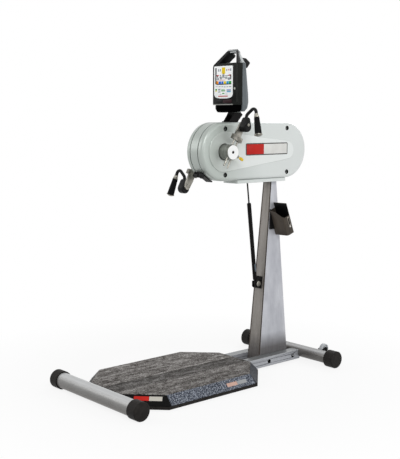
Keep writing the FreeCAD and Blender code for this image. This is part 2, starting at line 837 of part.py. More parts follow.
# Accessory pocket: a leaning sheet pouch on the column's right face, open at the top
def makePocket():
    taper = value("columnBottomHalf - columnTopHalf") / value("columnTop - railBottom - basePlateThick")
    start = "columnBottomHalf - pocketTaper*pocketFoot + pocketTaper*railBottom + pocketTaper*basePlateThick"
    turn = FreeCAD.Rotation(Y, -math.degrees(math.atan(taper))).multiply(FreeCAD.Rotation(X, sizes["pocketLean"]))
    body = newBody("accessory_pocket", (start, "pocketRearY", "pocketFoot"), turn)
    outline = newSketch(body, "XY_Plane")
    drawOutline(outline, rectangle("0", "- pocketDeep", "pocketReach", "0"))
    extrude(body, outline, "pocketBack")
    inside = newSketch(body, "XY_Plane", "pocketThick")
    drawOutline(inside, rectangle("pocketThick", "- pocketDeep + pocketThick", "pocketReach - pocketThick",
                                  "- pocketThick"))
    hollow = extrude(body, inside, "pocketBack", "Pocket", backwards=True)
    inner = value("pocketReach - pocketThick")
    deep = value("pocketDeep - pocketThick")
    soft = fillet(body, hollow, "pocketRound - pocketThick",
                  lambda edge: abs(edge.CenterOfMass.x - inner) < 0.1 and abs(edge.CenterOfMass.y + deep) < 0.1
                  and edge.Length > 100)
    fillet(body, soft, "pocketRound",
           lambda edge: abs(edge.CenterOfMass.x - inner) < 3 and abs(edge.CenterOfMass.y + deep) < 3
           and edge.Length > value("pocketBack") - 1)
    lip = newSketch(body, "XZ_Plane", "pocketThick")
    drawOutline(lip, [
        ("- 1", "pocketFront"), ("0.4*pocketReach", "pocketFront - 6"), ("pocketReach + 1", "pocketFront - 40"),
        ("pocketReach + 1", "pocketBack + 1"), ("- 1", "pocketBack + 1"),
    ])
    extrude(body, lip, "2*pocketDeep", "Pocket", backwards=True)
    slot = newSketch(body, "YZ_Plane", "pocketReach + 1")
    drawOutline(slot, rectangle("- 17", "pocketFront - 82", "- 11", "pocketFront - 49"))
    extrude(body, slot, "2*pocketThick", "Pocket")


# Transport wheels

# Two straps beside each wheel, coped onto the rear tube, with the wheel's axle through them
def makeWheelBrackets():
    lean = math.degrees(math.atan2(value("wheelHeight - tubeHeight"), value("wheelY - rearTubeY")))
    brackets = []
    for side in (1, -1):
        at = (signed(side, "wheelX"), "rearTubeY", "tubeHeight")
        body = newBody("WheelBracket", at, FreeCAD.Rotation(X, lean), False)
        axle = newSketch(body, "YZ_Plane")
        drawCircle(axle, "axleRadius", "wheelReach")
        extrude(body, axle, "2*wheelHalf + 2*wheelArmThick + 8", bothWays=True)
        for end in (1, -1):
            strap = newSketch(body, "YZ_Plane", signed(end, "wheelHalf + 1"))
            drawLoop(strap, "wheelArmFoot", "wheelArmEnd", "wheelReach")
            extrude(body, strap, "wheelArmThick", backwards=end < 0)
        cope = newSketch(body, "YZ_Plane")
        drawCircle(cope, "rearTubeRadius")
        extrude(body, cope, "6*wheelHalf", "Pocket", bothWays=True)
        brackets.append(body)
    grouped(brackets, "wheel_brackets")


def makeWheel(side):
    profile = [
        ("- wheelHalf", "axleRadius + runningGap"), ("- wheelHalf", "9"), ("- 0.6*wheelHalf", "11"),
        ("- 0.6*wheelHalf", "19"), ("- wheelHalf", "21"), ("- wheelHalf", "wheelRadius - 3"),
        ("- wheelHalf + 3", "wheelRadius"), ("wheelHalf - 3", "wheelRadius"), ("wheelHalf", "wheelRadius - 3"),
        ("wheelHalf", "21"), ("0.6*wheelHalf", "19"), ("0.6*wheelHalf", "11"), ("wheelHalf", "9"),
        ("wheelHalf", "axleRadius + runningGap"),
    ]
    turned("transport_wheel_" + sideName(side), "X", profile, (signed(side, "wheelX"), "wheelY", "wheelHeight"))


# Head

HEAD_AT = ("0", "crankY", "crankHeight")


# The painted strip round the head, open below where the column and the gas spring go in
def makeHeadBand():
    body = newBody("head_band", HEAD_AT)
    ring = newSketch(body, "YZ_Plane")
    drawLoop(ring, "headRadius", "headRadius", "headSpan")
    drawLoop(ring, "headRadius - bandWall", "headRadius - bandWall", "headSpan")
    extrude(body, ring, "2*bandHalf", bothWays=True)
    gap = newSketch(body, "YZ_Plane")
    drawOutline(gap, rectangle("skirtFront + 8 - crankY", "- headRadius - 10", "skirtRear - 8 - crankY", "- 60"))
    extrude(body, gap, "4*bandHalf", "Pocket", bothWays=True)


# Steel plates inside the head that carry the bearings and the tilt pin
def makeChassisPlate(side):
    body = newBody("chassis_plate_" + sideName(side), HEAD_AT)
    sheet_ = newSketch(body, "YZ_Plane", signed(side, "bandHalf"))
    drawLoop(sheet_, "plateRadius", "plateRadius", "headSpan")
    drawCircle(sheet_, "bearingRadius")
    drawCircle(sheet_, "bearingRadius - 8", "brakeY - crankY", "brakeHeight - crankHeight")
    drawCircle(sheet_, "pivotPinRadius", "pivotY - crankY", "pivotHeight - crankHeight")
    for rise in ("screwRise", "- screwRise"):
        for along in ("screwShift", "screwShift + screwSpan"):
            drawCircle(sheet_, "screwRadius", along, rise)
    extrude(body, sheet_, "plateThick", backwards=side < 0)
    notch = newSketch(body, "YZ_Plane")
    low = "- plateRadius - 5"
    drawOutline(notch, rectangle("plateNotch", low, "skirtRear - 8 - crankY", "- plateNotchTop"))
    extrude(body, notch, "4*bandHalf", "Pocket", bothWays=True)


# One moulded cover: a shallow tray with rounded edges, a raised field and four screw wells
def makeCover(side):
    body = newBody("cover_" + sideName(side), HEAD_AT)
    backwards = side < 0
    outer = value("coverInner + coverDepth")
    floor = value("coverInner + coverDepth - coverWall")
    tray = newSketch(body, "YZ_Plane", signed(side, "coverInner"))
    drawLoop(tray, "headRadius", "headRadius", "headSpan")
    solid = extrude(body, tray, "coverDepth", backwards=backwards)
    fillet(body, solid, "coverRound", lambda edge: abs(edge.BoundBox.XMin) > outer - 0.01
           and abs(edge.BoundBox.XMax) > outer - 0.01)
    hollow = newSketch(body, "YZ_Plane", signed(side, "coverInner"))
    inner = "headRadius - coverWall"
    drawLoop(hollow, inner, inner, "headSpan")
    cavity = extrude(body, hollow, "coverDepth - coverRound", "Pocket",
                     backwards=not backwards)
    step = newSketch(body, "YZ_Plane", signed(side, "coverInner + coverDepth - coverRound"))
    small = "headRadius - coverRound"
    drawLoop(step, small, small, "headSpan")
    extrude(body, step, "coverRound - coverWall", "Pocket", backwards=not backwards)
    field = newSketch(body, "YZ_Plane", signed(side, "coverInner + coverDepth"))
    drawLoop(field, "embossFirst", "embossSecond", "embossSpan")
    raised = extrude(body, field, "embossHeight", backwards=backwards)
    chamfer(body, raised, "0.5*embossHeight", lambda edge: abs(edge.BoundBox.XMin) > outer + 1
            and abs(edge.BoundBox.XMax) > outer + 1)
    wells = newSketch(body, "YZ_Plane", signed(side, "coverInner"))
    spots = [(along, rise) for rise in ("screwRise", "- screwRise")
             for along in ("screwShift", "screwShift + screwSpan")]
    for along, rise in spots:
        drawCircle(wells, "screwBossRadius", along, rise)
    extrude(body, wells, "coverDepth - coverWall + 1", backwards=backwards)
    bores = newSketch(body, "YZ_Plane", signed(side, "coverInner + coverDepth - screwPocket"))
    for along, rise in spots:
        drawCircle(bores, "screwHoleRadius", along, rise)
    extrude(body, bores, "2*coverDepth", "Pocket", backwards=not backwards)
    throughs = newSketch(body, "YZ_Plane", signed(side, "coverInner"))
    for along, rise in spots:
        drawCircle(throughs, "screwRadius", along, rise)
    drawCircle(throughs, "shaftHoleRadius")
    extrude(body, throughs, "2*coverDepth", "Pocket", backwards=not backwards)


# Socket head screws at the bottom of the covers' wells
def makeCoverScrews():
    foot = "coverInner + coverDepth - screwPocket"
    top = foot + " + screwHeadLength"
    screws = []
    for side in (1, -1):
        for rise in ("screwRise", "- screwRise"):
            for along in ("screwShift", "screwShift + screwSpan"):
                profile = [
                    ("bandHalf", "0"), ("bandHalf", "screwRadius"), (foot, "screwRadius"), (foot, "screwHeadRadius"),
                    (top, "screwHeadRadius"), (top, "screwSocketRadius"),
                    (top + " - screwSocketDepth", "screwSocketRadius"), (top + " - screwSocketDepth", "0"),
                ]
                at = ("0", "crankY + " + along, "crankHeight " + ("+ screwRise" if rise[0] != "-" else rise))
                turn = NO_TURN if side > 0 else HALF_TURN
                screws.append(turned("Screw", "X", profile, at, turn, False))
    grouped(screws, "cover_screws")


# Plain plates in the covers' raised fields
def makeBadges():
    badges = []
    for side in (1, -1):
        body = newBody("Badge", kept=False)
        sketch = newSketch(body, "YZ_Plane", signed(side, "coverInner + coverDepth + embossHeight"))
        drawOutline(sketch, rectangle("badgeFront", "badgeBottom", "badgeFront + badgeLength",
                                      "badgeBottom + badgeHigh"))
        plate = extrude(body, sketch, "badgeThick", backwards=side < 0)
        fillet(body, plate, "badgeRound", lambda edge: edge.Length < 2)
        badges.append(body)
    grouped(badges, "side_badges")


# A frame under the head round the opening for the column and the gas spring
def makeSkirt():
    body = newBody("underside_skirt")
    top = "crankHeight - headRadius"
    sketch = newSketch(body, "XY_Plane", top)
    drawOutline(sketch, rectangle("- skirtHalf", "skirtFront", "skirtHalf", "skirtRear"))
    drawOutline(sketch, rectangle("- skirtInner", "skirtFront + 8", "skirtInner", "skirtRear - 8"))
    solid = extrude(body, sketch, "skirtDrop", backwards=True)
    fillet(body, solid, "6", lambda edge: edge.BoundBox.ZLength > 10 and abs(edge.CenterOfMass.x) > 50)


def makeTiltPin():
    pieces = [cylinder("pivotPinRadius", "2*coverInner", ("- coverInner", "pivotY", "pivotHeight"), ALONG_X)]
    for start in ("coverInner", "- coverInner - 5"):
        pieces.append(cylinder("pivotPinRadius + 5", "5", (start, "pivotY", "pivotHeight"), ALONG_X))
    keep(joined(pieces, "tilt_pin"), "tilt_pin")


# Drive inside the head

def makeBearings():
    rings = []
    for side in (1, -1):
        for along, height, outer, inner in (("crankY", "crankHeight", "bearingRadius", "shaftRadius"),
                                            ("brakeY", "brakeHeight", "bearingRadius - 8", "brakeAxleRadius")):
            start = "bandHalf - 3" if side > 0 else "- bandHalf + 3 - bearingWidth"
            ring = cylinder(outer, "bearingWidth", (start, along, height), ALONG_X)
            hole = cylinder(inner + " + runningGap", "bearingWidth", (start, along, height), ALONG_X)
            rings.append(cut(ring, [hole]))
    grouped(rings, "shaft_bearings")


def makeShaft():
    shaft = cylinder("shaftRadius", "2*shaftHalf", ("- shaftHalf", "crankY", "crankHeight"), ALONG_X)
    keep(shaft, "crank_shaft")


# The big pulley: rim, web and boss in one turning, with six lightening holes
def makePulley():
    profile = [
        ("- pulleyHalf - 4", "shaftRadius"), ("- pulleyHalf - 4", "27"), ("- 3", "30"), ("- 3", "88"),
        ("- pulleyHalf", "92"), ("- pulleyHalf", "pulleyRadius + 3"), ("- beltHalf - 0.5", "pulleyRadius + 3"),
        ("- beltHalf - 0.5", "pulleyRadius"), ("beltHalf + 0.5", "pulleyRadius"),
        ("beltHalf + 0.5", "pulleyRadius + 3"), ("pulleyHalf", "pulleyRadius + 3"), ("pulleyHalf", "92"),
        ("3", "88"), ("3", "30"), ("pulleyHalf + 4", "27"), ("pulleyHalf + 4", "shaftRadius"),
    ]
    body = turned("drive_pulley", "X", profile, HEAD_AT)
    hole = newSketch(body, "YZ_Plane")
    drawCircle(hole, "pulleyHoleRadius", "pulleyHoleRing")
    pocket = extrude(body, hole, "20", "Pocket", bothWays=True)
    pattern = body.newObject("PartDesign::PolarPattern", "PolarPattern")
    pattern.Originals = [pocket]
    axis = [feature for feature in body.Origin.OriginFeatures if feature.Role == "X_Axis"][0]
    pattern.Axis = (axis, [""])
    pattern.Angle = 360
    pattern.Occurrences = 6
    body.Tip = pattern


# A flat belt on both pulleys, leaning with the line between their centres
def makeBelt():
    rise = value("brakeHeight - crankHeight")
    run = value("brakeY - crankY")
    lean = math.degrees(math.atan2(rise, run))
    body = newBody("drive_belt", HEAD_AT, FreeCAD.Rotation(X, lean))
    sketch = newSketch(body, "YZ_Plane")
    span = "1.0017*brakeY - 1.0017*crankY"
    drawLoop(sketch, "pulleyRadius + beltGap + beltThick", "brakePulleyRadius + beltGap + beltThick", span)
    drawLoop(sketch, "pulleyRadius + beltGap", "brakePulleyRadius + beltGap", span)
    extrude(body, sketch, "2*beltHalf", bothWays=True)


# Brake disc and small pulley on one axle
def makeBrakeRotor():
    profile = [
        ("- bandHalf - 8", "0"), ("- bandHalf - 8", "brakeAxleRadius"), ("- 22", "brakeAxleRadius"),
        ("- 22", "brakeRotorRadius"), ("- 14", "brakeRotorRadius"), ("- 14", "30"), ("- 9", "28"),
        ("- beltHalf - 1", "28"), ("- beltHalf - 1", "brakePulleyRadius"), ("beltHalf + 1", "brakePulleyRadius"),
        ("beltHalf + 1", "28"), ("9", "28"), ("9", "brakeAxleRadius"), ("bandHalf + 8", "brakeAxleRadius"),
        ("bandHalf + 8", "0"),
    ]
    turned("brake_rotor", "X", profile, ("0", "brakeY", "brakeHeight"))


# A horseshoe magnet block that straddles the disc's upper edge
def makeBrakeMagnet():
    body = newBody("brake_magnet")
    sketch = newSketch(body, "XZ_Plane", "- brakeY")
    top = "brakeHeight + brakeRotorRadius"
    drawOutline(sketch, [
        ("- 24.9", top + " - 14"), ("- 23.2", top + " - 14"), ("- 23.2", top + " + 2"), ("- 12.8", top + " + 2"),
        ("- 12.8", top + " - 14"), ("- 3", top + " - 14"), ("- 3", top + " + 16"), ("- 24.9", top + " + 16"),
    ])
    extrude(body, sketch, "50", bothWays=True)


# Cranks

def crankTurn(side):
    turn = FreeCAD.Rotation(X, -sizes["crankLean"])
    return turn if side > 0 else turn.multiply(FreeCAD.Rotation(Y, 180))


# Round hub on the shaft, with two cross bores for the arm's rods and a collar for the release pin.
# Each crank's frame has +X outwards and +Z along its arm.
def makeHub(side):
    profile = [
        ("hubStart", "shaftRadius"), ("hubStart", "hubRadius"), ("hubEnd", "hubRadius"),
        ("hubEnd", "hubDiscRadius"), ("hubDiscEnd - 2", "hubDiscRadius"), ("hubDiscEnd", "hubDiscRadius - 2"),
        ("hubDiscEnd", "7"), ("hubDiscEnd - 3", "7"), ("hubDiscEnd - 3", "0"), ("shaftHalf", "0"),
        ("shaftHalf", "shaftRadius"),
    ]
    body = turned("hub_" + sideName(side), "X", profile, HEAD_AT, crankTurn(side))
    collar = newSketch(body, "XZ_Plane", "- pullCollarStart")
    drawCircle(collar, "pullCollarRadius", "armX", "0")
    extrude(body, collar, "pullCollarEnd - pullCollarStart", backwards=True)
    bores = newSketch(body, "XY_Plane")
    for offset in ("armRodHalf", "- armRodHalf"):
        drawCircle(bores, "armRodRadius + armRodGap", "armX", offset)
    extrude(body, bores, "4*hubRadius", "Pocket", bothWays=True)
    pull = newSketch(body, "XZ_Plane", "- pullStart + 1")
    drawCircle(pull, "pullStem + runningGap", "armX", "0")
    extrude(body, pull, "hubRadius", "Pocket")


# Spring pin that locks the arm's rods in the hub, with a bright stem and a coloured tip
def makeReleasePin(side):
    body = newBody("release_pin_" + sideName(side), HEAD_AT, crankTurn(side))
    stem = newSketch(body, "XZ_Plane", "- pullStart")
    drawCircle(stem, "pullStem", "armX", "0")
    extrude(body, stem, "pullTip - pullStart - 6", backwards=True)
    tip = newSketch(body, "XZ_Plane", "- pullTip")
    drawCircle(tip, "pullKnobRadius", "armX", "0")
    knob = extrude(body, tip, "pullKnobLength")
    far = value("pullTip")
    fillet(body, knob, "2.5", lambda edge: edge.BoundBox.YMin > far - 0.01 and edge.Length > 20)


# Edges of a serrated piece: a tooth's foot and crest in turn, from low upwards
def teethAlong(half, low, high, count):
    edge = []
    for number in range(count):
        foot = "%s + %g*%s" % (low, number / count, high)
        crest = "%s + %g*%s" % (low, (number + 0.5) / count, high)
        edge += [(half + " - 2", foot), (half, crest)]
    return edge


def mirrored(edge):
    return [("-1*" + across.replace(" - ", " + "), along) for across, along in reversed(edge)]


# Two rods that slide through the hub, a serrated cross block, a serrated neck and the handle's bolt
def makeCrankArm(side):
    reach = "0" if side > 0 else "armTravel"
    body = newBody("crank_arm_" + sideName(side), HEAD_AT, crankTurn(side))
    start = reach + " + armBlockStart"
    top = start + " + armBlockHigh"
    pivot = reach + " + handleRadius"
    shape = newSketch(body, "YZ_Plane", "armX - 0.5*armBlockThick")
    edge = teethAlong("armBlockHalf", start, "armBlockHigh", 4) + [("armBlockHalf - 2", top)]
    drawOutline(shape, edge + mirrored(edge))
    extrude(body, shape, "armBlockThick")
    neck = newSketch(body, "YZ_Plane", "armX - 0.5*armBlockThick + 2")
    edge = teethAlong("armNeckHalf", top, "armNeckTeeth", 4) + [("armNeckRadius", pivot)]
    drawOutline(neck, edge + mirrored(edge))
    extrude(body, neck, "armBlockThick - 7")
    end = newSketch(body, "YZ_Plane", "armX - 0.5*armBlockThick + 2")
    drawCircle(end, "armNeckRadius", "0", pivot)
    extrude(body, end, "armBlockThick - 7")
    rods = newSketch(body, "XY_Plane", reach + " - armTail")
    for offset in ("armRodHalf", "- armRodHalf"):
        drawCircle(rods, "armRodRadius", "armX", offset)
    extrude(body, rods, "armTail + armBlockStart + 5")
    bolt = newSketch(body, "YZ_Plane", "armX")
    drawCircle(bolt, "handleBoltRadius", "0", pivot)
    extrude(body, bolt, "bootOuter + 0.6 - armX")
    boltHead = newSketch(body, "YZ_Plane", "bootOuter + 0.4")
    drawCircle(boltHead, "handleBoltRadius + 2", "0", pivot)
    extrude(body, boltHead, "handleBoltHead")


# Handles, each in a frame at its bolt with +X outwards and +Z up

def handlePlace(side):
    reach = ["handleRadius"] if side > 0 else ["handleRadius", "armTravel"]
    sign = " + " if side > 0 else " - "
    y = "crankY" + "".join(sign + length + "*crankSin" for length in reach)
    z = "crankHeight" + "".join(sign + length + "*crankCos" for length in reach)
    turn = FreeCAD.Rotation(X, -sizes["handleLean"])
    return ("0", y, z), turn if side > 0 else turn.multiply(HALF_TURN)


# Moulded boot, round below and narrower above, that turns on the arm's bolt and holds the bar's foot
def makeBoot(side):
    at, turn = handlePlace(side)
    upright = turn.multiply(ALONG_X).multiply(FreeCAD.Rotation(Z, 180))
    body = newBody("handle_boot_" + sideName(side), at, upright)
    shape = newSketch(body, "XY_Plane", "bootInner")
    drawLoop(shape, "bootFirst", "bootSecond", "bootSpan", "- bootDrop", "0")
    solid = extrude(body, shape, "bootOuter - bootInner")
    fillet(body, solid, "bootRound", lambda edge: edge.BoundBox.ZLength < 0.01)
    bolt = newSketch(body, "XY_Plane")
    drawCircle(bolt, "handleBoltRadius + runningGap", "0", "0")
    extrude(body, bolt, "2*bootOuter", "Pocket", backwards=True)
    socket = newSketch(body, "YZ_Plane", "barFoot")
    drawCircle(socket, "barRadius", "0", "barX")
    extrude(body, socket, "bootSpan", "Pocket", backwards=True)


# Bent handle bar: straight runs and tangent arcs, from the boot over and down through the grip
def makeHandleBar(side):
    at, turn = handlePlace(side)
    end = "gripLength*slantSin + 3*slantSin", "gripLength*slantCos - 3*slantCos"
    route = [("barX", "barFoot"), ("barX", "barRise"), ("barPeakX", "barPeak"),
             ("gripX + " + end[0], "gripTop - " + end[1])]
    radius = value("barBend")
    spots = [FreeCAD.Vector(value(across), 0, value(up)) for across, up in route]
    edges = []
    start = spots[0]
    for before, corner, after in zip(spots, spots[1:], spots[2:]):
        inward = (corner - before).normalize()
        outward = (after - corner).normalize()
        setback = radius * math.tan(inward.getAngle(outward) / 2)
        enter = corner - inward * setback
        leave = corner + outward * setback
        bisector = (outward - inward).normalize()
        centre = corner + bisector * (radius / math.cos(inward.getAngle(outward) / 2))
        middle = centre - bisector * radius
        edges.append(Part.LineSegment(start, enter).toShape())
        edges.append(Part.Arc(enter, middle, leave).toShape())
        start = leave
    edges.append(Part.LineSegment(start, spots[-1]).toShape())
    path = Part.Wire(edges)
    section = Part.Wire([Part.makeCircle(sizes["barRadius"], spots[0], Z)])
    bar = path.makePipeShell([section], True, False)
    item = document.addObject("Part::Feature", "handle_bar_" + sideName(side))
    item.Shape = bar
    place(item, at, turn)
    keep(item, "handle_bar_" + sideName(side))


# The grip's own frame: its origin at the grip's top on the bar's middle line, +Z up along the slanted grip
def gripPlace(side):
    at, turn = handlePlace(side)
    slant = FreeCAD.Rotation(Y, -sizes["gripSlant"])
    top = (signed(side, "gripX"), at[1] + " + gripTop*leanSin", at[2] + " + gripTop*leanCos")
    return top, turn.multiply(slant)


# Bright collar above the grip and the flange that holds the grip on
def makeGripFittings(side):
    low = "- gripLength"
    profiles = [
        [("1", "barRadius"), ("1", "gripRadius - 3.5"), ("6", "gripRadius - 3.5"), ("8", "gripRadius - 5"),
         ("13", "gripRadius - 5"), ("15", "gripRadius - 6"), ("19", "gripRadius - 6"), ("19", "barRadius")],
        [(low + " - 1", "barRadius"), (low + " - 1", "gripRadius + 4"), (low + " - 4", "gripRadius + 4"),
         (low + " - 5", "gripRadius"), (low + " - 9", "gripRadius - 5"), (low + " - 9", "0"),
         (low + " - 3", "0"), (low + " - 3", "barRadius")],
    ]
    pieces = [turned("GripFitting", "Z", profile, *gripPlace(side), False) for profile in profiles]
    grouped(pieces, "grip_fittings_" + sideName(side))


# Rubber grip, turning freely on the bar
def makeGrip(side):
    low = "- gripLength"
    profile = [
        (low, "barRadius + gripBoreGap"), (low, "gripRadius + 0.5"), (low + " + 1.5", "gripRadius + 1.5"),
        (low + " + 34", "gripRadius"), ("- 20", "gripRadius - 2"), ("- 1.5", "gripRadius - 2.5"),
        ("0", "gripRadius - 4"), ("0", "barRadius + gripBoreGap"),
    ]
    turned("grip_" + sideName(side), "Z", profile, *gripPlace(side))


# Console

# Folded neck on the head: two cheeks, a foot and a rear web, with a pivot bolt through the cheeks
def makeNeck():
    foot = "crankHeight + headRadius"
    body = newBody("console_neck")
    base = newSketch(body, "XY_Plane", foot)
    drawOutline(base, rectangle("- neckHalf", "neckFront - 6", "neckHalf", "neckRear + 6"))
    extrude(body, base, "5")
    pivot = ("consolePivotY", "consolePivotHeight")
    for side in (1, -1):
        cheek = newSketch(body, "YZ_Plane", signed(side, "neckHalf - neckWall"))
        drawOutline(cheek, [
            ("neckFront", foot), ("neckRear", foot), (pivot[0] + " + 38", "consoleBottom - 12"),
            (pivot[0] + " + 12", pivot[1] + " - 8"), (pivot[0] + " + 12", pivot[1] + " + 6"),
            (pivot[0] + " + 6", pivot[1] + " + 12"), (pivot[0] + " - 6", pivot[1] + " + 12"),
            (pivot[0] + " - 12", pivot[1] + " + 6"), (pivot[0] + " - 12", pivot[1] + " - 8"),
            ("neckFront + 28", "consoleBottom - 12"),
        ])
        extrude(body, cheek, "neckWall", backwards=side < 0)
    web = newSketch(body, "XZ_Plane", "- neckRear + 2*neckWall")
    drawOutline(web, rectangle("- neckHalf", foot, "neckHalf", "consoleBottom - 14"))
    extrude(body, web, "neckWall")
    bolt = newSketch(body, "YZ_Plane")
    drawCircle(bolt, "neckBoltRadius", *pivot)
    extrude(body, bolt, "2*neckHalf + 2*neckBoltEnd", bothWays=True)


# Front bezel of the console, with a stepped lower lip
def makeConsoleFront():
    body = newBody("console_front")
    side = newSketch(body, "YZ_Plane")
    drawOutline(side, [
        ("consoleSeam", "consoleBottom"), ("consoleSeam", "consoleTop"), ("consoleFront + 3", "consoleTop"),
        ("consoleFront", "consoleTop - 4"), ("consoleFront", "lipHeight + 3"), ("consoleFront + 2", "lipHeight"),
        ("consoleFront + 9", "lipHeight - 3"), ("consoleFront + 11", "lipHeight - 14"),
        ("consoleFront + 19", "consoleBottom"),
    ])
    solid = extrude(body, side, "2*consoleHalf", bothWays=True)
    edge = value("consoleHalf")
    front = value("consoleFront")
    fillet(body, solid, "6", lambda line: abs(abs(line.CenterOfMass.x) - edge) < 0.01 and line.BoundBox.YMax < front
           + 0.01 and line.BoundBox.ZLength > 100)
    key = newSketch(body, "XZ_Plane", "- consoleFront - buttonWell")
    drawCircle(key, "buttonRadius + 0.4", "buttonX", "buttonHeight")
    extrude(body, key, "consoleSeam", "Pocket", backwards=True)
    slot = newSketch(body, "XY_Plane", "consoleBottom")
    drawOutline(slot, rectangle("- neckHalf - 10", "consolePivotY - 32", "neckHalf + 10", "consoleSeam"))
    extrude(body, slot, "lipHeight - consoleBottom", "Pocket", backwards=True)
    inside = newSketch(body, "XZ_Plane", "- consoleSeam")
    drawOutline(inside, rectangle("- consoleHalf + 5", "lipHeight + 5", "consoleHalf - 5", "consoleTop - 5"))
    extrude(body, inside, "consoleSeam - consoleFront - 9", "Pocket", backwards=True)
    return body


# Rear shell, bulging towards the bottom, with a domed top and a slot for the neck
def makeConsoleRear():
    body = newBody("console_rear")
    side = newSketch(body, "YZ_Plane")
    drawOutline(side, [
        ("consoleSeam", "consoleBottom + 4"), ("consoleSeam + 12", "consoleBottom + 4"),
        ("consoleRearLow - 6", "consoleBottom + 26"), ("consoleRearLow", "consoleBottom + 50"),
        ("consoleRearLow - 2", "consoleBottom + 90"), ("consoleRearHigh + 6", "consoleTop - 40"),
        ("consoleRearHigh", "consoleTop"), ("consoleSeam", "consoleTop"),
    ])
    solid = extrude(body, side, "2*consoleHalf - 2", bothWays=True)
    seam = value("consoleSeam + 14")
    fillet(body, solid, "7", lambda line: abs(line.CenterOfMass.x) > 80 and line.BoundBox.YMin > seam)
    lower = newSketch(body, "XY_Plane", "consoleTop")
    drawOutline(lower, rectangle("- consoleHalf + 8", "consoleSeam", "consoleHalf - 8", "consoleRearHigh - 1"))
    upper = newSketch(body, "XY_Plane", "archTop - 6")
    drawOutline(upper, rectangle("- domeHalf", "consoleSeam + 8", "domeHalf", "consoleRearHigh - 6"))
    loft(body, lower, upper)
    slot = newSketch(body, "XY_Plane", "consoleBottom")
    drawOutline(slot, rectangle("- neckHalf - 10", "consoleSeam - 5", "neckHalf + 10", "consoleRearLow + 5"))
    extrude(body, slot, "50", "Pocket", backwards=True)
    inside = newSketch(body, "XZ_Plane", "- consoleSeam")
    drawOutline(inside, rectangle("- consoleHalf + 6", "consoleBottom + 55", "consoleHalf - 6", "consoleTop - 5"))
    extrude(body, inside, "consoleRearHigh - consoleSeam - 5", "Pocket")
    hole = newSketch(body, "YZ_Plane")
    drawCircle(hole, "neckBoltRadius + runningGap", "consolePivotY", "consolePivotHeight")
    extrude(body, hole, "2*neckHalf + 2*neckBoltEnd + 2", "Pocket", bothWays=True)
    hand = newSketch(body, "XZ_Plane", "- consoleSeam + 5")
    drawOutline(hand, [
        ("- handGapLow", "consoleTop + 4"), ("handGapLow", "consoleTop + 4"), ("handGapHigh", "handGapTop"),
        ("- handGapHigh", "handGapTop"),
    ])
    extrude(body, hand, "consoleRearLow - consoleSeam + 10", "Pocket")
    return body


# Carry arch on top of the console, leaning back against the two shells that it is seated on
def makeCarryArch(shells):
    rise = value("archTop - consoleTop")
    back = value("archBack - consoleFront")
    lean = math.degrees(math.atan2(back, rise))
    body = newBody("CarryArch", ("0", "consoleFront + 2", "consoleTop"), FreeCAD.Rotation(X, -lean), False)
    shape = newSketch(body, "XZ_Plane")
    high = "archLength"
    drawOutline(shape, [
        ("consoleHalf - 2", "- 8"), ("consoleHalf - 2", "4"), ("archHalf", high), ("- archHalf", high),
        ("- consoleHalf + 2", "4"), ("- consoleHalf + 2", "- 8"), ("- consoleHalf + 12", "- 8"),
        ("- consoleHalf + 12", "2"), ("- archHalf + 4", high + " - 11"), ("archHalf - 4", high + " - 11"),
        ("consoleHalf - 12", "2"), ("consoleHalf - 12", "- 8"),
    ])
    solid = extrude(body, shape, "archDeep", backwards=True)
    fillet(body, solid, "8", lambda line: line.BoundBox.YLength > 10 and line.CenterOfMass.z > value(high) - 1)
    below = block(("2*consoleHalf", "100", "40"), ("- consoleHalf", "consoleFront - 10", "consoleTop - 40"))
    keep(cut(body, shells + [below], "console_carry_arch"), "console_carry_arch")


def makeDisplay():
    body = newBody("console_display")
    face = newSketch(body, "XZ_Plane", "- consoleFront")
    drawOutline(face, [
        ("displayLeft", "displayTop"), ("displayLeft", "displayBottom + 16"), ("displayLeft + 18", "displayBottom + 3"),
        ("displayLeft + 45", "displayBottom"), ("displayRight - 45", "displayBottom"),
        ("displayRight - 18", "displayBottom + 3"), ("displayRight", "displayBottom + 16"),
        ("displayRight", "displayTop"),
    ])
    extrude(body, face, "displayThick")


def makeButton():
    profile = [
        ("0", "0"), ("0", "buttonRadius - 0.8"), ("0.8", "buttonRadius"), ("5.5", "buttonRadius"), ("5.5", "0"),
    ]
    turned("console_button", "Z", profile, ("buttonX", "consoleFront - buttonStand", "buttonHeight"), ALONG_Y)


# Tilt lock

# A plate tangent to the head's lower front, with two ears for the lock bar
def makeLockBracket():
    body = newBody("tilt_lock_bracket", HEAD_AT, FreeCAD.Rotation(X, -sizes["lockLean"]))
    plate = newSketch(body, "YZ_Plane")
    drawOutline(plate, rectangle("- lockPlateHalf", "- headRadius - lockPlateThick", "lockPlateHalf", "- headRadius"))
    extrude(body, plate, "2*bandHalf - 4", bothWays=True)
    for side in (1, -1):
        ear = newSketch(body, "YZ_Plane", signed(side, "bandHalf - 2"))
        drawOutline(ear, rectangle("lockBarY - lockEarHalf", "- headRadius - lockDrop - lockEarDrop",
                                   "lockBarY + lockEarHalf", "- headRadius - 1"))
        extrude(body, ear, "lockPlateThick", backwards=side > 0)
    bore = newSketch(body, "YZ_Plane")
    drawCircle(bore, "lockBarRadius + runningGap", "lockBarY", "- headRadius - lockDrop")
    extrude(body, bore, "4*bandHalf", "Pocket", bothWays=True)


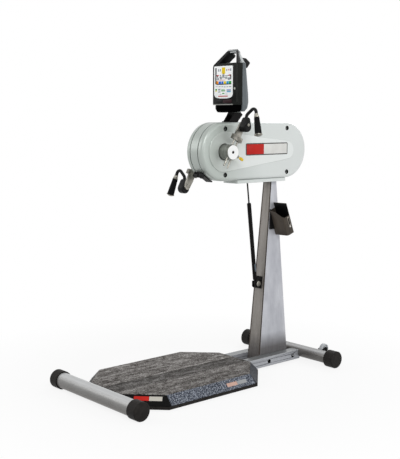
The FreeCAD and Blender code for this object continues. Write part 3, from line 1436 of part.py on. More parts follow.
# Lock bar with a thick sleeve between the ears and a round knob on its right end
def makeLockKnob():
    turn = FreeCAD.Rotation(X, -sizes["lockLean"])
    profile = [
        ("- bandHalf - 3", "0"), ("- bandHalf - 3", "lockBarRadius"), ("- bandHalf + 7.4", "lockBarRadius"),
        ("- bandHalf + 7.4", "lockSleeveRadius"), ("bandHalf - 16", "lockSleeveRadius"),
        ("bandHalf - 16", "lockBarRadius"), ("bandHalf - 1", "lockBarRadius"), ("bandHalf - 1", "lockKnobRadius - 2"),
        ("bandHalf + 1", "lockKnobRadius"), ("bandHalf + 10", "lockKnobRadius"),
        ("bandHalf + 13", "lockKnobRadius - 3"), ("bandHalf + 13", "0"),
    ]
    body = newBody("tilt_lock_knob", HEAD_AT, turn)
    sketch = newSketch(body, "XY_Plane", "- headRadius - lockDrop")
    drawOutline(sketch, [(along, "lockBarY + " + radius) for along, radius in profile])
    axis = sketch.addGeometry(Part.LineSegment(FreeCAD.Vector(-60, value("lockBarY"), 0),
                                               FreeCAD.Vector(60, value("lockBarY"), 0)), True)
    hold(sketch, axis, 1, "- 60", "lockBarY")
    hold(sketch, axis, 2, "60", "lockBarY")
    revolution = body.newObject("PartDesign::Revolution", "Revolution")
    revolution.Profile = sketch
    revolution.ReferenceAxis = (sketch, ["Axis0"])
    revolution.Angle = 360


fillSheet()
for label, radius, along in (("front_cross_tube", "frontTubeRadius", "frontTubeY"),
                             ("rear_cross_tube", "rearTubeRadius", "rearTubeY")):
    makeCrossTube(label, radius, along)
makeFootCaps("front_foot_caps", "frontTubeRadius", "frontTubeY")
makeFootCaps("rear_foot_caps", "rearTubeRadius", "rearTubeY")
makeDeck()
makeDeckTrim()
makeColumnBolts()
makeBasePlate()
makeColumn()
makeColumnHead()
makePivotBushes()
makeSpringFoot()
makeGasCylinder()
makeGasRod()
makeSpringTop()
makePocket()
makeWheelBrackets()
makeHeadBand()
makeCoverScrews()
makeBadges()
makeSkirt()
makeTiltPin()
makeBearings()
makeShaft()
makePulley()
makeBelt()
makeBrakeRotor()
makeBrakeMagnet()
makeNeck()
shells = [makeConsoleFront(), makeConsoleRear()]
makeCarryArch(shells)
makeDisplay()
makeButton()
makeLockBracket()
makeLockKnob()
for side in (1, -1):
    makeRail(side)
    makeMat(side)
    makeWheel(side)
    makeChassisPlate(side)
    makeCover(side)
    makeHub(side)
    makeReleasePin(side)
    makeCrankArm(side)
    makeBoot(side)
    makeHandleBar(side)
    makeGripFittings(side)
    makeGrip(side)
document.recompute()


def checkAndWrite():
    faults = []
    for thing in document.Objects:
        if "Invalid" in thing.State or "Error" in thing.State:
            faults.append("%s %s %s" % (thing.Name, thing.Label, thing.State))
    for part in subParts:
        if part.Shape.isNull() or not part.Shape.isValid():
            faults.append("%s has no valid shape" % part.Label)
    if faults:
        raise RuntimeError("; ".join(faults))
    os.makedirs("parts", exist_ok=True)
    for part in subParts:
        part.Shape.exportStep("parts/%s.step" % part.Label)
        print(part.Label, len(part.Shape.Solids), "solids", round(part.Shape.Volume / 1000, 1), "cm3")


checkAndWrite()
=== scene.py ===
import bpy, bmesh
import json, math
from mathutils import Matrix, Vector


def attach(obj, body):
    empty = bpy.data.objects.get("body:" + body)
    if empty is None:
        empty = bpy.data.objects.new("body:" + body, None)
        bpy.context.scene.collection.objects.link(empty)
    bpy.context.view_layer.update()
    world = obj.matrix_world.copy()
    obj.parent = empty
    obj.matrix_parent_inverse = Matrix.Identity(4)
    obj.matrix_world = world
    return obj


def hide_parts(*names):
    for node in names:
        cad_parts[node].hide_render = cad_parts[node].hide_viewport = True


# Arm ergometer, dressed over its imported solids. Metres; +X is the user's right, +Y runs to the column.

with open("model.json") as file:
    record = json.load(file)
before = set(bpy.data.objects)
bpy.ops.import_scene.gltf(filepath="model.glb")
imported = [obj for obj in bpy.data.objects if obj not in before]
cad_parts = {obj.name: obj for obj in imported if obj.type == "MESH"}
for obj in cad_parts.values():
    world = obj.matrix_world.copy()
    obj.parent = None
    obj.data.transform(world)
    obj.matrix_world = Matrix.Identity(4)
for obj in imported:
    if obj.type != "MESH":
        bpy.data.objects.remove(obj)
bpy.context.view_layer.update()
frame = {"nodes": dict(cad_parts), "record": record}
nodes = frame["nodes"]
scene = bpy.context.scene
scene.view_settings.view_transform = "Standard"
print("frame loaded", len(nodes), "nodes")


# Colours and finishes

def tone(red, green, blue):  # screen values 0 to 255 to the shader's linear ones
    channels = []
    for level in (red, green, blue):
        level /= 255
        channels.append(level / 12.92 if level <= 0.04045 else ((level + 0.055) / 1.055) ** 2.4)
    return (*channels, 1.0)


def linkNoise(tree, coords, stretch, scale, detail, roughness=0.55):
    place = tree.nodes.new("ShaderNodeMapping")
    place.inputs["Scale"].default_value = stretch
    noise = tree.nodes.new("ShaderNodeTexNoise")
    noise.inputs["Scale"].default_value = scale
    noise.inputs["Detail"].default_value = detail
    noise.inputs["Roughness"].default_value = roughness
    tree.links.new(coords, place.inputs["Vector"])
    tree.links.new(place.outputs["Vector"], noise.inputs["Vector"])
    return noise.outputs["Fac"]


def linkRamp(tree, value, stops):
    ramp = tree.nodes.new("ShaderNodeValToRGB")
    ramp.color_ramp.elements[0].position = stops[0][0]
    ramp.color_ramp.elements[0].color = stops[0][1]
    ramp.color_ramp.elements[1].position = stops[-1][0]
    ramp.color_ramp.elements[1].color = stops[-1][1]
    for position, colour in stops[1:-1]:
        ramp.color_ramp.elements.new(position).color = colour
    tree.links.new(value, ramp.inputs["Fac"])
    return ramp.outputs["Color"]


def linkSpan(tree, value, low, high, toLow, toHigh):
    span = tree.nodes.new("ShaderNodeMapRange")
    span.inputs["From Min"].default_value = low
    span.inputs["From Max"].default_value = high
    span.inputs["To Min"].default_value = toLow
    span.inputs["To Max"].default_value = toHigh
    tree.links.new(value, span.inputs["Value"])
    return span.outputs["Result"]


def linkMix(tree, factor, first, second, blend="MIX"):
    mix = tree.nodes.new("ShaderNodeMix")
    mix.data_type = "RGBA"
    mix.blend_type = blend
    for name, value in (("Factor", factor), ("A", first), ("B", second)):
        if isinstance(value, (float, tuple)):
            mix.inputs[name].default_value = value
        else:
            tree.links.new(value, mix.inputs[name])
    return mix.outputs["Result"]


def linkGrain(tree, share, colour, fine, dark, light):  # a fine speckle laid over a colour
    return linkMix(tree, share, colour, linkRamp(tree, fine, [(0.3, dark), (0.7, light)]))


def linkParts(tree, vector):  # X, Y and Z of a vector
    split = tree.nodes.new("ShaderNodeSeparateXYZ")
    tree.links.new(vector, split.inputs["Vector"])
    return split.outputs


def linkNormal(tree):
    return linkParts(tree, tree.nodes.new("ShaderNodeTexCoord").outputs["Normal"])


def linkSize(tree, value):  # a value without its sign
    size = tree.nodes.new("ShaderNodeMath")
    size.operation = "ABSOLUTE"
    tree.links.new(value, size.inputs[0])
    return size.outputs[0]


def startFinish(name, metallic=0.0, coat=0.0, coatRoughness=0.1, specular=0.5):
    material = bpy.data.materials.new(name)
    material.use_nodes = True
    tree = material.node_tree
    shader = tree.nodes["Principled BSDF"]
    shader.inputs["Metallic"].default_value = metallic
    shader.inputs["Coat Weight"].default_value = coat
    shader.inputs["Coat Roughness"].default_value = coatRoughness
    shader.inputs["Specular IOR Level"].default_value = specular
    coords = tree.nodes.new("ShaderNodeTexCoord").outputs["Object"]
    return material, tree, shader, coords


def linkBump(tree, shader, height, strength, distance):
    bump = tree.nodes.new("ShaderNodeBump")
    bump.inputs["Strength"].default_value = strength
    bump.inputs["Distance"].default_value = distance
    tree.links.new(height, bump.inputs["Height"])
    tree.links.new(bump.outputs["Normal"], shader.inputs["Normal"])


# One layered finish: broad colour drift, fine grain, roughness drift and a fine bump
def makeFinish(name, dark, light, stretch=(1, 1, 1), drift=6.0, grain=400.0, grainMix=0.25,
               rough=(0.35, 0.5), metallic=0.0, coat=0.0, bump=0.1, depth=0.0004, specular=0.5):
    material, tree, shader, coords = startFinish(name, metallic, coat, specular=specular)
    broad = linkNoise(tree, coords, stretch, drift, 3.0)
    fine = linkNoise(tree, coords, stretch, grain, 2.0)
    base = linkRamp(tree, broad, [(0.35, dark), (0.65, light)])
    speck = linkRamp(tree, fine, [(0.3, tuple(0.78 * c for c in dark[:3]) + (1,)), (0.7, light)])
    tree.links.new(linkMix(tree, grainMix, base, speck), shader.inputs["Base Color"])
    tree.links.new(linkSpan(tree, broad, 0.3, 0.7, rough[0], rough[1]), shader.inputs["Roughness"])
    linkBump(tree, shader, fine, bump, depth)
    return material


finishes = {
    "steel_paint_dark": makeFinish("blackPaint", tone(8, 7, 7), tone(16, 14, 14), grain=1200.0,
                                   rough=(0.4, 0.5), bump=0.08, specular=0.1),
    "black_rubber": makeFinish("blackRubber", tone(22, 20, 19), tone(42, 39, 37), drift=40.0, grain=1500.0,
                               rough=(0.5, 0.68), bump=0.25, specular=0.12),
    "wheel_tyre": makeFinish("wheelRubber", tone(176, 180, 184), tone(200, 203, 206), drift=30.0,
                             grain=1500.0, rough=(0.45, 0.6), bump=0.2),
    "black_plastic": makeFinish("blackPlastic", tone(9, 9, 10), tone(20, 20, 21), drift=14.0, grain=1800.0,
                                rough=(0.34, 0.46), bump=0.12, specular=0.14),
    "grip_rubber": makeFinish("gripRubber", tone(6, 6, 7), tone(18, 18, 19), drift=60.0, grain=1400.0,
                              rough=(0.55, 0.72), bump=0.35, depth=0.0006, specular=0.08),
    "belt_rubber": makeFinish("beltRubber", tone(24, 24, 25), tone(38, 38, 38), grain=900.0,
                              rough=(0.6, 0.7)),
    "bright_steel": makeFinish("brightSteel", tone(104, 102, 96), tone(166, 163, 154), drift=40.0,
                               grain=700.0, rough=(0.25, 0.4), metallic=0.85, bump=0.06),
    "dark_steel": makeFinish("darkSteel", tone(14, 13, 13), tone(28, 27, 26), drift=30.0, grain=900.0,
                             rough=(0.34, 0.44), bump=0.05, specular=0.12),
    "alu": makeFinish("machinedAluminium", tone(116, 118, 112), tone(150, 152, 146), stretch=(3, 1, 1),
                      drift=30.0, grain=800.0, rough=(0.3, 0.45), metallic=0.6, bump=0.08),
    "yellow": makeFinish("yellowPlastic", tone(226, 184, 24), tone(246, 212, 44), drift=80.0, grain=900.0,
                         rough=(0.3, 0.4), bump=0.06),
    "pocket_paint": makeFinish("pocketPaint", tone(44, 39, 34), tone(92, 84, 75), stretch=(1, 1, 0.4),
                               drift=12.0, grain=900.0, rough=(0.38, 0.5), bump=0.1, specular=0.2),
    "console_bezel": makeFinish("consoleBezel", tone(12, 14, 13), tone(36, 38, 35), drift=12.0,
                                grain=1200.0, rough=(0.32, 0.42), bump=0.1, specular=0.06),
    "display": makeFinish("overlayFilm", tone(234, 237, 237), tone(246, 248, 248), drift=20.0, grain=900.0,
                          grainMix=0.08, rough=(0.2, 0.26), coat=0.3, bump=0.02),
    "badge": makeFinish("badgeFrame", tone(30, 33, 30), tone(46, 50, 46), drift=20.0, grain=900.0,
                        rough=(0.25, 0.33), coat=0.3, bump=0.03),
}


# Brushed sheet: brownish grey in front; painted light makes it cooler and paler along the sides, and
# painted shade makes it dark at the folds and the foot
def makeColumnFinish():
    material, tree, shader, coords = startFinish("brushedColumnAndPaintedLight", metallic=0.3, specular=0.3)
    broad = linkNoise(tree, coords, (14, 14, 0.7), 2.0, 3.0)
    cloud = linkNoise(tree, coords, (1, 1, 0.5), 16.0, 4.0)
    fine = linkNoise(tree, coords, (120, 120, 1.0), 6.0, 2.0)
    front = linkRamp(tree, broad, [(0.3, tone(112, 106, 100)), (0.7, tone(154, 149, 143))])
    # painted light: the sides are the same sheet, drawn paler and cooler
    litFlank = linkRamp(tree, cloud, [(0.3, tone(176, 178, 186)), (0.7, tone(206, 208, 214))])
    turned = linkSize(tree, linkNormal(tree)["X"])
    # painted shade along the folds, where the face turns away
    withFoldShade = linkMix(tree, linkSpan(tree, turned, 0.12, 0.4, 0, 1), front, tone(52, 44, 38))
    withLitSides = linkMix(tree, linkSpan(tree, turned, 0.8, 0.97, 0, 1), withFoldShade, litFlank)
    # painted shade low down, towards the foot
    footShade = linkSpan(tree, linkParts(tree, coords)["Z"], 0.09, 0.17, 0.85, 0)
    both = linkMix(tree, footShade, withLitSides, tone(74, 69, 67))
    brushed = linkGrain(tree, 0.12, both, fine, tone(80, 76, 72), tone(206, 206, 208))
    tree.links.new(brushed, shader.inputs["Base Color"])
    tree.links.new(linkSpan(tree, broad, 0.3, 0.7, 0.36, 0.46), shader.inputs["Roughness"])
    linkBump(tree, shader, fine, 0.06, 0.0003)
    return material


# Silver paint in painted reflection and highlight, toned by how far a face looks up, as a floor and a pale
# room mirror in it
def makeSilverFinish(name, stops):
    material, tree, shader, coords = startFinish(name, metallic=0.35, specular=0.3)
    broad = linkNoise(tree, coords, (1, 1, 1), 9.0, 3.0)
    fine = linkNoise(tree, coords, (1, 1, 1), 900.0, 2.0)
    paintedReflection = linkRamp(tree, linkSpan(tree, linkNormal(tree)["Z"], -1, 1, 0, 1), stops)
    worn = linkRamp(tree, broad, [(0.3, tone(118, 117, 115)), (0.7, tone(168, 168, 167))])
    grainy = linkGrain(tree, 0.12, paintedReflection, fine, tone(96, 95, 94), tone(190, 190, 190))
    tree.links.new(linkMix(tree, 0.15, grainy, worn), shader.inputs["Base Color"])
    tree.links.new(linkSpan(tree, broad, 0.3, 0.7, 0.26, 0.36), shader.inputs["Roughness"])
    linkBump(tree, shader, fine, 0.05, 0.0003)
    return material


# Cover paint in painted light: painted shade about the hub, fading to paler paint towards the middle, and a
# painted highlight along the raised field
def makeCoverFinish(raisedFrom):
    material, tree, shader, coords = startFinish("coverPaint", metallic=0.25, coat=0.25)
    broad = linkNoise(tree, coords, (1, 1, 1), 3.0, 3.0)
    fine = linkNoise(tree, coords, (1, 1, 1), 1600.0, 2.0)
    place = linkParts(tree, coords)
    # painted shade near the hub, lifting along the cover
    along = linkSpan(tree, place["Y"], -0.1, 0.7, 0, 1)
    face = linkRamp(tree, along, [(0.0, tone(166, 174, 168)), (0.22, tone(172, 180, 174)),
                                  (0.36, tone(196, 202, 199)), (0.55, tone(216, 221, 219)),
                                  (1.0, tone(220, 224, 223))])
    raisedHighlight = linkRamp(tree, along, [(0.12, tone(172, 179, 173)), (0.26, tone(196, 202, 198)),
                                    (0.4, tone(228, 232, 230)), (1.0, tone(234, 238, 237))])
    isRaised = linkSpan(tree, linkSize(tree, place["X"]), raisedFrom, raisedFrom + 0.0028, 0, 1)
    both = linkMix(tree, isRaised, face, raisedHighlight)
    drift = linkRamp(tree, broad, [(0.35, tone(188, 195, 192)), (0.65, tone(212, 218, 215))])
    grainy = linkGrain(tree, 0.05, both, fine, tone(120, 126, 122), tone(226, 230, 228))
    tree.links.new(linkMix(tree, 0.12, grainy, drift), shader.inputs["Base Color"])
    tree.links.new(linkSpan(tree, broad, 0.3, 0.7, 0.34, 0.42), shader.inputs["Roughness"])
    linkBump(tree, shader, fine, 0.03, 0.0004)
    return material


# Ribbed blue-grey shell, its rib stripes partly painted glints, with painted light making the dome pale
# above the console's top edge
def makeShellFinish(domeFoot):
    material, tree, shader, coords = startFinish("consoleShell", coat=0.1, specular=0.4)
    rib = linkNoise(tree, coords, (8, 26, 0.6), 2.4, 2.0)
    fine = linkNoise(tree, coords, (1, 1, 1), 900.0, 2.0)
    # rib stripes: ribs of the shell, partly painted glints
    shell = linkRamp(tree, rib, [(0.3, tone(58, 64, 68)), (0.52, tone(92, 100, 104)),
                                 (0.7, tone(120, 126, 130))])
    # painted light on the dome, which faces up towards the lamps
    litDome = linkRamp(tree, rib, [(0.3, tone(186, 192, 192)), (0.7, tone(214, 218, 218))])
    above = linkSpan(tree, linkParts(tree, coords)["Z"], domeFoot - 0.002, domeFoot + 0.002, 0, 1)
    both = linkMix(tree, above, shell, litDome)
    grainy = linkGrain(tree, 0.1, both, fine, tone(60, 64, 66), tone(150, 156, 158))
    tree.links.new(grainy, shader.inputs["Base Color"])
    tree.links.new(linkSpan(tree, rib, 0.3, 0.7, 0.34, 0.46), shader.inputs["Roughness"])
    linkBump(tree, shader, rib, 0.15, 0.0006)
    return material


# Speckled side facets in painted light, between the front facets near black and the darker rear facets,
# both in painted shade, by where they are along the deck
def makeDeckFinish(limits):
    material, tree, shader, coords = startFinish("speckledDeck", specular=0.08)
    cloud = linkNoise(tree, coords, (1, 1, 1), 30.0, 4.0)
    speck = linkNoise(tree, coords, (1, 1, 1), 170.0, 3.0, 0.75)
    # painted light: the side facets blue-grey where they face up into the light
    side = linkMix(tree, 0.65, linkRamp(tree, cloud, [(0.38, tone(56, 60, 70)), (0.62, tone(94, 99, 110))]),
                   linkRamp(tree, speck, [(0.40, tone(26, 28, 36)), (0.5, tone(80, 86, 98)),
                                          (0.6, tone(190, 197, 208))]))
    # painted shade: the front facets near black, the rear ones dark grey
    black = linkRamp(tree, speck, [(0.4, tone(1, 1, 1)), (0.6, tone(10, 9, 9))])
    rear = linkRamp(tree, speck, [(0.4, tone(40, 41, 44)), (0.6, tone(84, 86, 92))])
    along = linkParts(tree, coords)["Y"]
    isRear = linkSpan(tree, along, limits["rear"], limits["rear"] + 0.001, 0, 1)
    isFront = linkSpan(tree, along, limits["front"] - 0.001, limits["front"], 1, 0)
    behind = linkMix(tree, isRear, side, rear)
    tree.links.new(linkMix(tree, isFront, behind, black), shader.inputs["Base Color"])
    shader.inputs["Roughness"].default_value = 0.5
    linkBump(tree, shader, speck, 0.25, 0.0006)
    return material


def grey(level):  # a share of a colour, to multiply by
    return (level, level, level, 1)


# Worn rubber: dark and pale streaks along the deck, and a pale line and a darker band beside the seam
def makeMatFinish(band):
    material, tree, shader, coords = startFinish("streakyMat", specular=0.12)
    streak = linkNoise(tree, coords, (1, 0.16, 1), 30.0, 5.0, 0.7)
    blotch = linkNoise(tree, coords, (1, 0.7, 1), 34.0, 5.0, 0.75)
    speck = linkNoise(tree, coords, (1, 1, 1), 150.0, 3.0, 0.75)
    worn = linkMix(tree, 0.42, linkMix(tree, 0.5, streak, blotch), speck)
    base = linkRamp(tree, worn, [(0.43, tone(58, 52, 48)), (0.5, tone(136, 131, 127)),
                                 (0.57, tone(214, 211, 208))])
    reach = band["reach"]
    start, line, inside, end = (0.5 + place / (2 * reach) for place in band["places"])
    shade = linkRamp(tree, linkSpan(tree, linkParts(tree, coords)["X"], -reach, reach, 0, 1), [
        (0.0, grey(0.58)), (start, grey(0.56)), (line, grey(0.95)), (inside, grey(0.27)), (end, grey(0.34)),
        (end + 0.06, grey(0.56)), (1.0, grey(0.5))])
    both = linkMix(tree, 1.0, base, shade, "MULTIPLY")
    tree.links.new(both, shader.inputs["Base Color"])
    tree.links.new(linkSpan(tree, blotch, 0.3, 0.7, 0.62, 0.8), shader.inputs["Roughness"])
    linkBump(tree, shader, worn, 0.3, 0.001)
    return material


finishes["deck_grey"] = makeDeckFinish({"front": -0.465, "rear": 0.058})
finishes["mat_rubber"] = makeMatFinish({"reach": 0.2, "places": (-0.024, -0.018, -0.013, 0.085)})
finishes["column_metal"] = makeColumnFinish()
finishes["cover_plastic"] = makeCoverFinish(0.0612)
# painted reflection: dark floor low on the tube, a painted highlight band near its top
finishes["silver_paint"] = makeSilverFinish("silverTube", [
    (0.0, tone(58, 50, 45)), (0.28, tone(82, 76, 71)), (0.42, tone(106, 104, 101)),
    (0.6, tone(122, 121, 119)), (0.8, tone(150, 150, 149)), (0.93, tone(216, 217, 218)),
    (1.0, tone(196, 198, 199))])
# painted shade: the rear tube, the same silver paint drawn darker all round, with its own painted highlight
shadedRearTube = makeSilverFinish("rearTube", [
    (0.0, tone(44, 38, 34)), (0.3, tone(66, 60, 55)), (0.46, tone(64, 60, 56)), (0.6, tone(88, 84, 80)),
    (0.78, tone(118, 115, 112)), (0.92, tone(206, 207, 208)), (1.0, tone(150, 150, 150))])
# painted light on the rails: their sides paler than their tops, and dark below
railPaint = makeSilverFinish("railPaint", [
    (0.0, tone(60, 56, 54)), (0.4, tone(150, 152, 157)), (0.5, tone(176, 179, 186)),
    (0.7, tone(204, 206, 210)), (0.85, tone(150, 153, 156)), (1.0, tone(120, 124, 127))])
finishes["console_grey"] = makeShellFinish(1.574)
print("finishes", len(finishes))


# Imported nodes

# Soft shading for loose triangles: merge them, then keep only the edges past an angle sharp
def makeSmoothing(limit):
    group = bpy.data.node_groups.new("cadSmoothing", "GeometryNodeTree")
    for way in ("INPUT", "OUTPUT"):
        group.interface.new_socket("Geometry", in_out=way, socket_type="NodeSocketGeometry")
    start = group.nodes.new("NodeGroupInput")
    end = group.nodes.new("NodeGroupOutput")
    merge = group.nodes.new("GeometryNodeMergeByDistance")
    merge.inputs["Distance"].default_value = 0.000002
    faces = group.nodes.new("GeometryNodeSetShadeSmooth")
    faces.domain = "FACE"
    edges = group.nodes.new("GeometryNodeSetShadeSmooth")
    edges.domain = "EDGE"
    angle = group.nodes.new("GeometryNodeInputMeshEdgeAngle")
    soft = group.nodes.new("FunctionNodeCompare")
    soft.data_type = "FLOAT"
    soft.operation = "LESS_THAN"
    soft.inputs["B"].default_value = math.radians(limit)
    group.links.new(start.outputs[0], merge.inputs["Geometry"])
    group.links.new(merge.outputs["Geometry"], faces.inputs["Geometry"])
    group.links.new(faces.outputs["Geometry"], edges.inputs["Geometry"])
    group.links.new(angle.outputs["Unsigned Angle"], soft.inputs["A"])
    group.links.new(soft.outputs["Result"], edges.inputs["Shade Smooth"])
    group.links.new(edges.outputs["Geometry"], end.inputs[0])
    return group


smoothing = makeSmoothing(32.0)
softEdges = {  # edge rounding in metres where light catches a corner
    "column": 0.006, "rail_right": 0.003, "rail_left": 0.003, "console_rear": 0.0022,
    "console_carry_arch": 0.003, "crank_arm_right": 0.0005, "crank_arm_left": 0.0005,
    "platform_deck": 0.0012, "console_neck": 0.0008, "tilt_lock_bracket": 0.0006,
    "accessory_pocket": 0.0005, "underside_skirt": 0.001,
}
ownFinish = {  # nodes that look other than their slot's finish; the rear tube is the same paint in painted shade
    "rear_cross_tube": shadedRearTube, "rail_right": railPaint, "rail_left": railPaint,
    "cover_screws": finishes["dark_steel"], "column_bolts": finishes["dark_steel"],
}
slotOf = {part["node"]: part["material_slot"] for part in frame["record"]["subparts"]}
for name, node in nodes.items():
    node.data.materials.clear()
    node.data.materials.append(ownFinish.get(name, finishes[slotOf[name]]))
    shade = node.modifiers.new("smoothing", "NODES")
    shade.node_group = smoothing
    if name in softEdges:
        edge = node.modifiers.new("softEdges", "BEVEL")
        edge.width = softEdges[name]
        edge.segments = 2
        edge.limit_method = "ANGLE"
        edge.angle_limit = math.radians(35)
        edge.harden_normals = True
print("packed nodes dressed")


# Making pieces

def addPiece(name, mesh, finish, body, replaced=(), angle=35.0):
    bmesh.ops.recalc_face_normals(mesh, faces=mesh.faces)
    data = bpy.data.meshes.new(name)
    mesh.to_mesh(data)
    mesh.free()
    data.materials.append(finish)
    data.shade_smooth()
    data.set_sharp_from_angle(angle=math.radians(angle))
    piece = bpy.data.objects.new(name, data)
    scene.collection.objects.link(piece)
    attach(piece, body)
    if replaced:
        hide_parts(*replaced)
    return piece


def turnPlace(at, lean):  # a frame at a point, leaning about X
    return Matrix.Translation(Vector(at)) @ Matrix.Rotation(math.radians(lean), 4, "X")


def addBar(mesh, low, high, round=0.0, segments=2):  # a box between two corners, its edges rounded
    low, high = Vector(low), Vector(high)
    made = bmesh.ops.create_cube(mesh, size=1.0)
    bmesh.ops.scale(mesh, vec=high - low, verts=made["verts"])
    bmesh.ops.translate(mesh, vec=(low + high) / 2, verts=made["verts"])
    if round:
        edges = {edge for vert in made["verts"] for edge in vert.link_edges}
        bmesh.ops.bevel(mesh, geom=list(edges), offset=round, offset_type="OFFSET", affect="EDGES",
                        segments=segments, profile=0.5, material=-1)


# A profile of (distance, radius) pairs, spun round an axis
def addTurned(mesh, profile, at, axis, steps=48):
    axis = Vector(axis).normalized()
    side = axis.orthogonal().normalized()
    verts = [mesh.verts.new(Vector(at) + axis * along + side * radius) for along, radius in profile]
    edges = [mesh.edges.new(pair) for pair in zip(verts, verts[1:])]
    bmesh.ops.spin(mesh, geom=verts + edges, cent=at, axis=axis, angle=2 * math.pi, steps=steps,
                   use_merge=True)
    bmesh.ops.remove_doubles(mesh, verts=mesh.verts, dist=0.00001)


# A closed prism: an outline in two axes, drawn out along the third, its edges rounded
def addPrism(mesh, outline, axis, low, high, round=0.0, segments=2):
    order = {"X": lambda a, b, c: (c, a, b), "Y": lambda a, b, c: (a, c, b)}[axis]
    ends = [[mesh.verts.new(order(a, b, along)) for a, b in outline] for along in (low, high)]
    faces = [mesh.faces.new(ends[0]), mesh.faces.new(ends[1])]
    count = len(outline)
    for index in range(count):
        after = (index + 1) % count
        faces.append(mesh.faces.new([ends[0][index], ends[0][after], ends[1][after], ends[1][index]]))
    bmesh.ops.recalc_face_normals(mesh, faces=faces)
    if round:
        edges = {edge for face in faces for edge in face.edges}
        bmesh.ops.bevel(mesh, geom=list(edges), offset=round, offset_type="OFFSET", affect="EDGES",
                        segments=segments, profile=0.5, material=-1, clamp_overlap=True)


# A round blind hole along Y, cut into a finished piece
def boreHole(piece, at, radius, deep):
    mesh = bmesh.new()
    place = Matrix.Translation(Vector(at)) @ Matrix.Rotation(math.pi / 2, 4, "X")
    bmesh.ops.create_cone(mesh, cap_ends=True, segments=40, radius1=radius, radius2=radius, depth=2 * deep,
                          matrix=place)
    data = bpy.data.meshes.new("borer")
    mesh.to_mesh(data)
    mesh.free()
    borer = bpy.data.objects.new("borer", data)
    scene.collection.objects.link(borer)
    cut = piece.modifiers.new("bore", "BOOLEAN")
    cut.object = borer
    cut.solver = "EXACT"
    bored = bpy.data.meshes.new_from_object(piece.evaluated_get(bpy.context.evaluated_depsgraph_get()))
    piece.modifiers.clear()
    piece.data = bored
    bored.set_sharp_from_angle(angle=math.radians(35.0))
    bpy.data.objects.remove(borer)


def placeAll(mesh, place):
    bmesh.ops.transform(mesh, matrix=place, verts=mesh.verts)


# Console

def makeInk(name, red, green, blue):
    return makeFinish(name, tone(red * 0.96, green * 0.96, blue * 0.96), tone(red, green, blue), drift=20.0,
                      grain=900.0, grainMix=0.04, rough=(0.3, 0.36), bump=0.02, specular=0.12)


# The front stands a little wider than its solid, over a narrower rounded chin
bezel = {"left": -0.096, "right": 0.086, "front": 0.1358, "seam": 0.1705, "foot": 1.3665, "top": 1.572,
         "cut": 0.003, "shallow": 0.002, "corner": (0.012, 0.018, 0.008), "round": 0.0016}
mesh = bmesh.new()
left, right, foot, top, cut = (bezel[place] for place in ("left", "right", "foot", "top", "cut"))
cornerWide, cornerDeep, cornerBend = bezel["corner"]
addPrism(mesh, [(left, foot + cut), (left + cut, foot), (right - cut, foot), (right, foot + cut),
                (right, top - bezel["shallow"]), (right - cut, top), (left + cornerWide, top),
                (left + cut, top - cornerBend), (left, top - cornerDeep)],
         "Y", bezel["front"], bezel["seam"], bezel["round"])
bezelPiece = addPiece("console_bezel", mesh, finishes["console_bezel"], "console",
                      replaced=["console_front"])
key = {"at": (0.0670, 0.1358, 1.4470), "ring": 0.0085, "bore": 0.0064, "deep": 0.0062, "back": 0.0005,
       "front": -0.0012}
boreHole(bezelPiece, key["at"], key["bore"], key["deep"])
chin = {"left": -0.083, "right": 0.080, "top": 1.3672, "bend": 1.3480, "foot": 1.3305, "slope": 0.013,
        "front": 0.1390, "back": 0.1720, "round": 0.0055}
mesh = bmesh.new()
chinLeft, chinRight = chin["left"] + chin["slope"], chin["right"] - chin["slope"]
addPrism(mesh, [(chin["left"], chin["top"]), (chin["left"], chin["bend"]), (chinLeft, chin["foot"]),
                (chinRight, chin["foot"]), (chin["right"], chin["bend"]), (chin["right"], chin["top"])],
         "Y", chin["front"], chin["back"], chin["round"], 4)
chinGloss = makeFinish("chinGloss", tone(3, 3, 3), tone(8, 8, 8), grain=900.0, rough=(0.3, 0.36), bump=0.02,
                       specular=0.0)
addPiece("console_chin", mesh, chinGloss, "console")
# painted sheen: a grey strip under the chin's rounded foot, where its black gloss catches the light
chinSheen = {"outline": [(0.150, 1.3345), (0.155, 1.3296), (0.1735, 1.3292), (0.1735, 1.3345)],
           "neck": 0.0290, "round": 0.0015}
mesh = bmesh.new()
for low, high in ((chinLeft, -chinSheen["neck"]), (chinSheen["neck"], chinRight)):
    addPrism(mesh, chinSheen["outline"], "X", low, high, chinSheen["round"])
chinSheenGrey = makeFinish("chinSheen", tone(76, 80, 78), tone(120, 124, 120), grain=900.0, rough=(0.3, 0.4),
                      bump=0.05)
addPiece("console_chin_sheen", mesh, chinSheenGrey, "console")

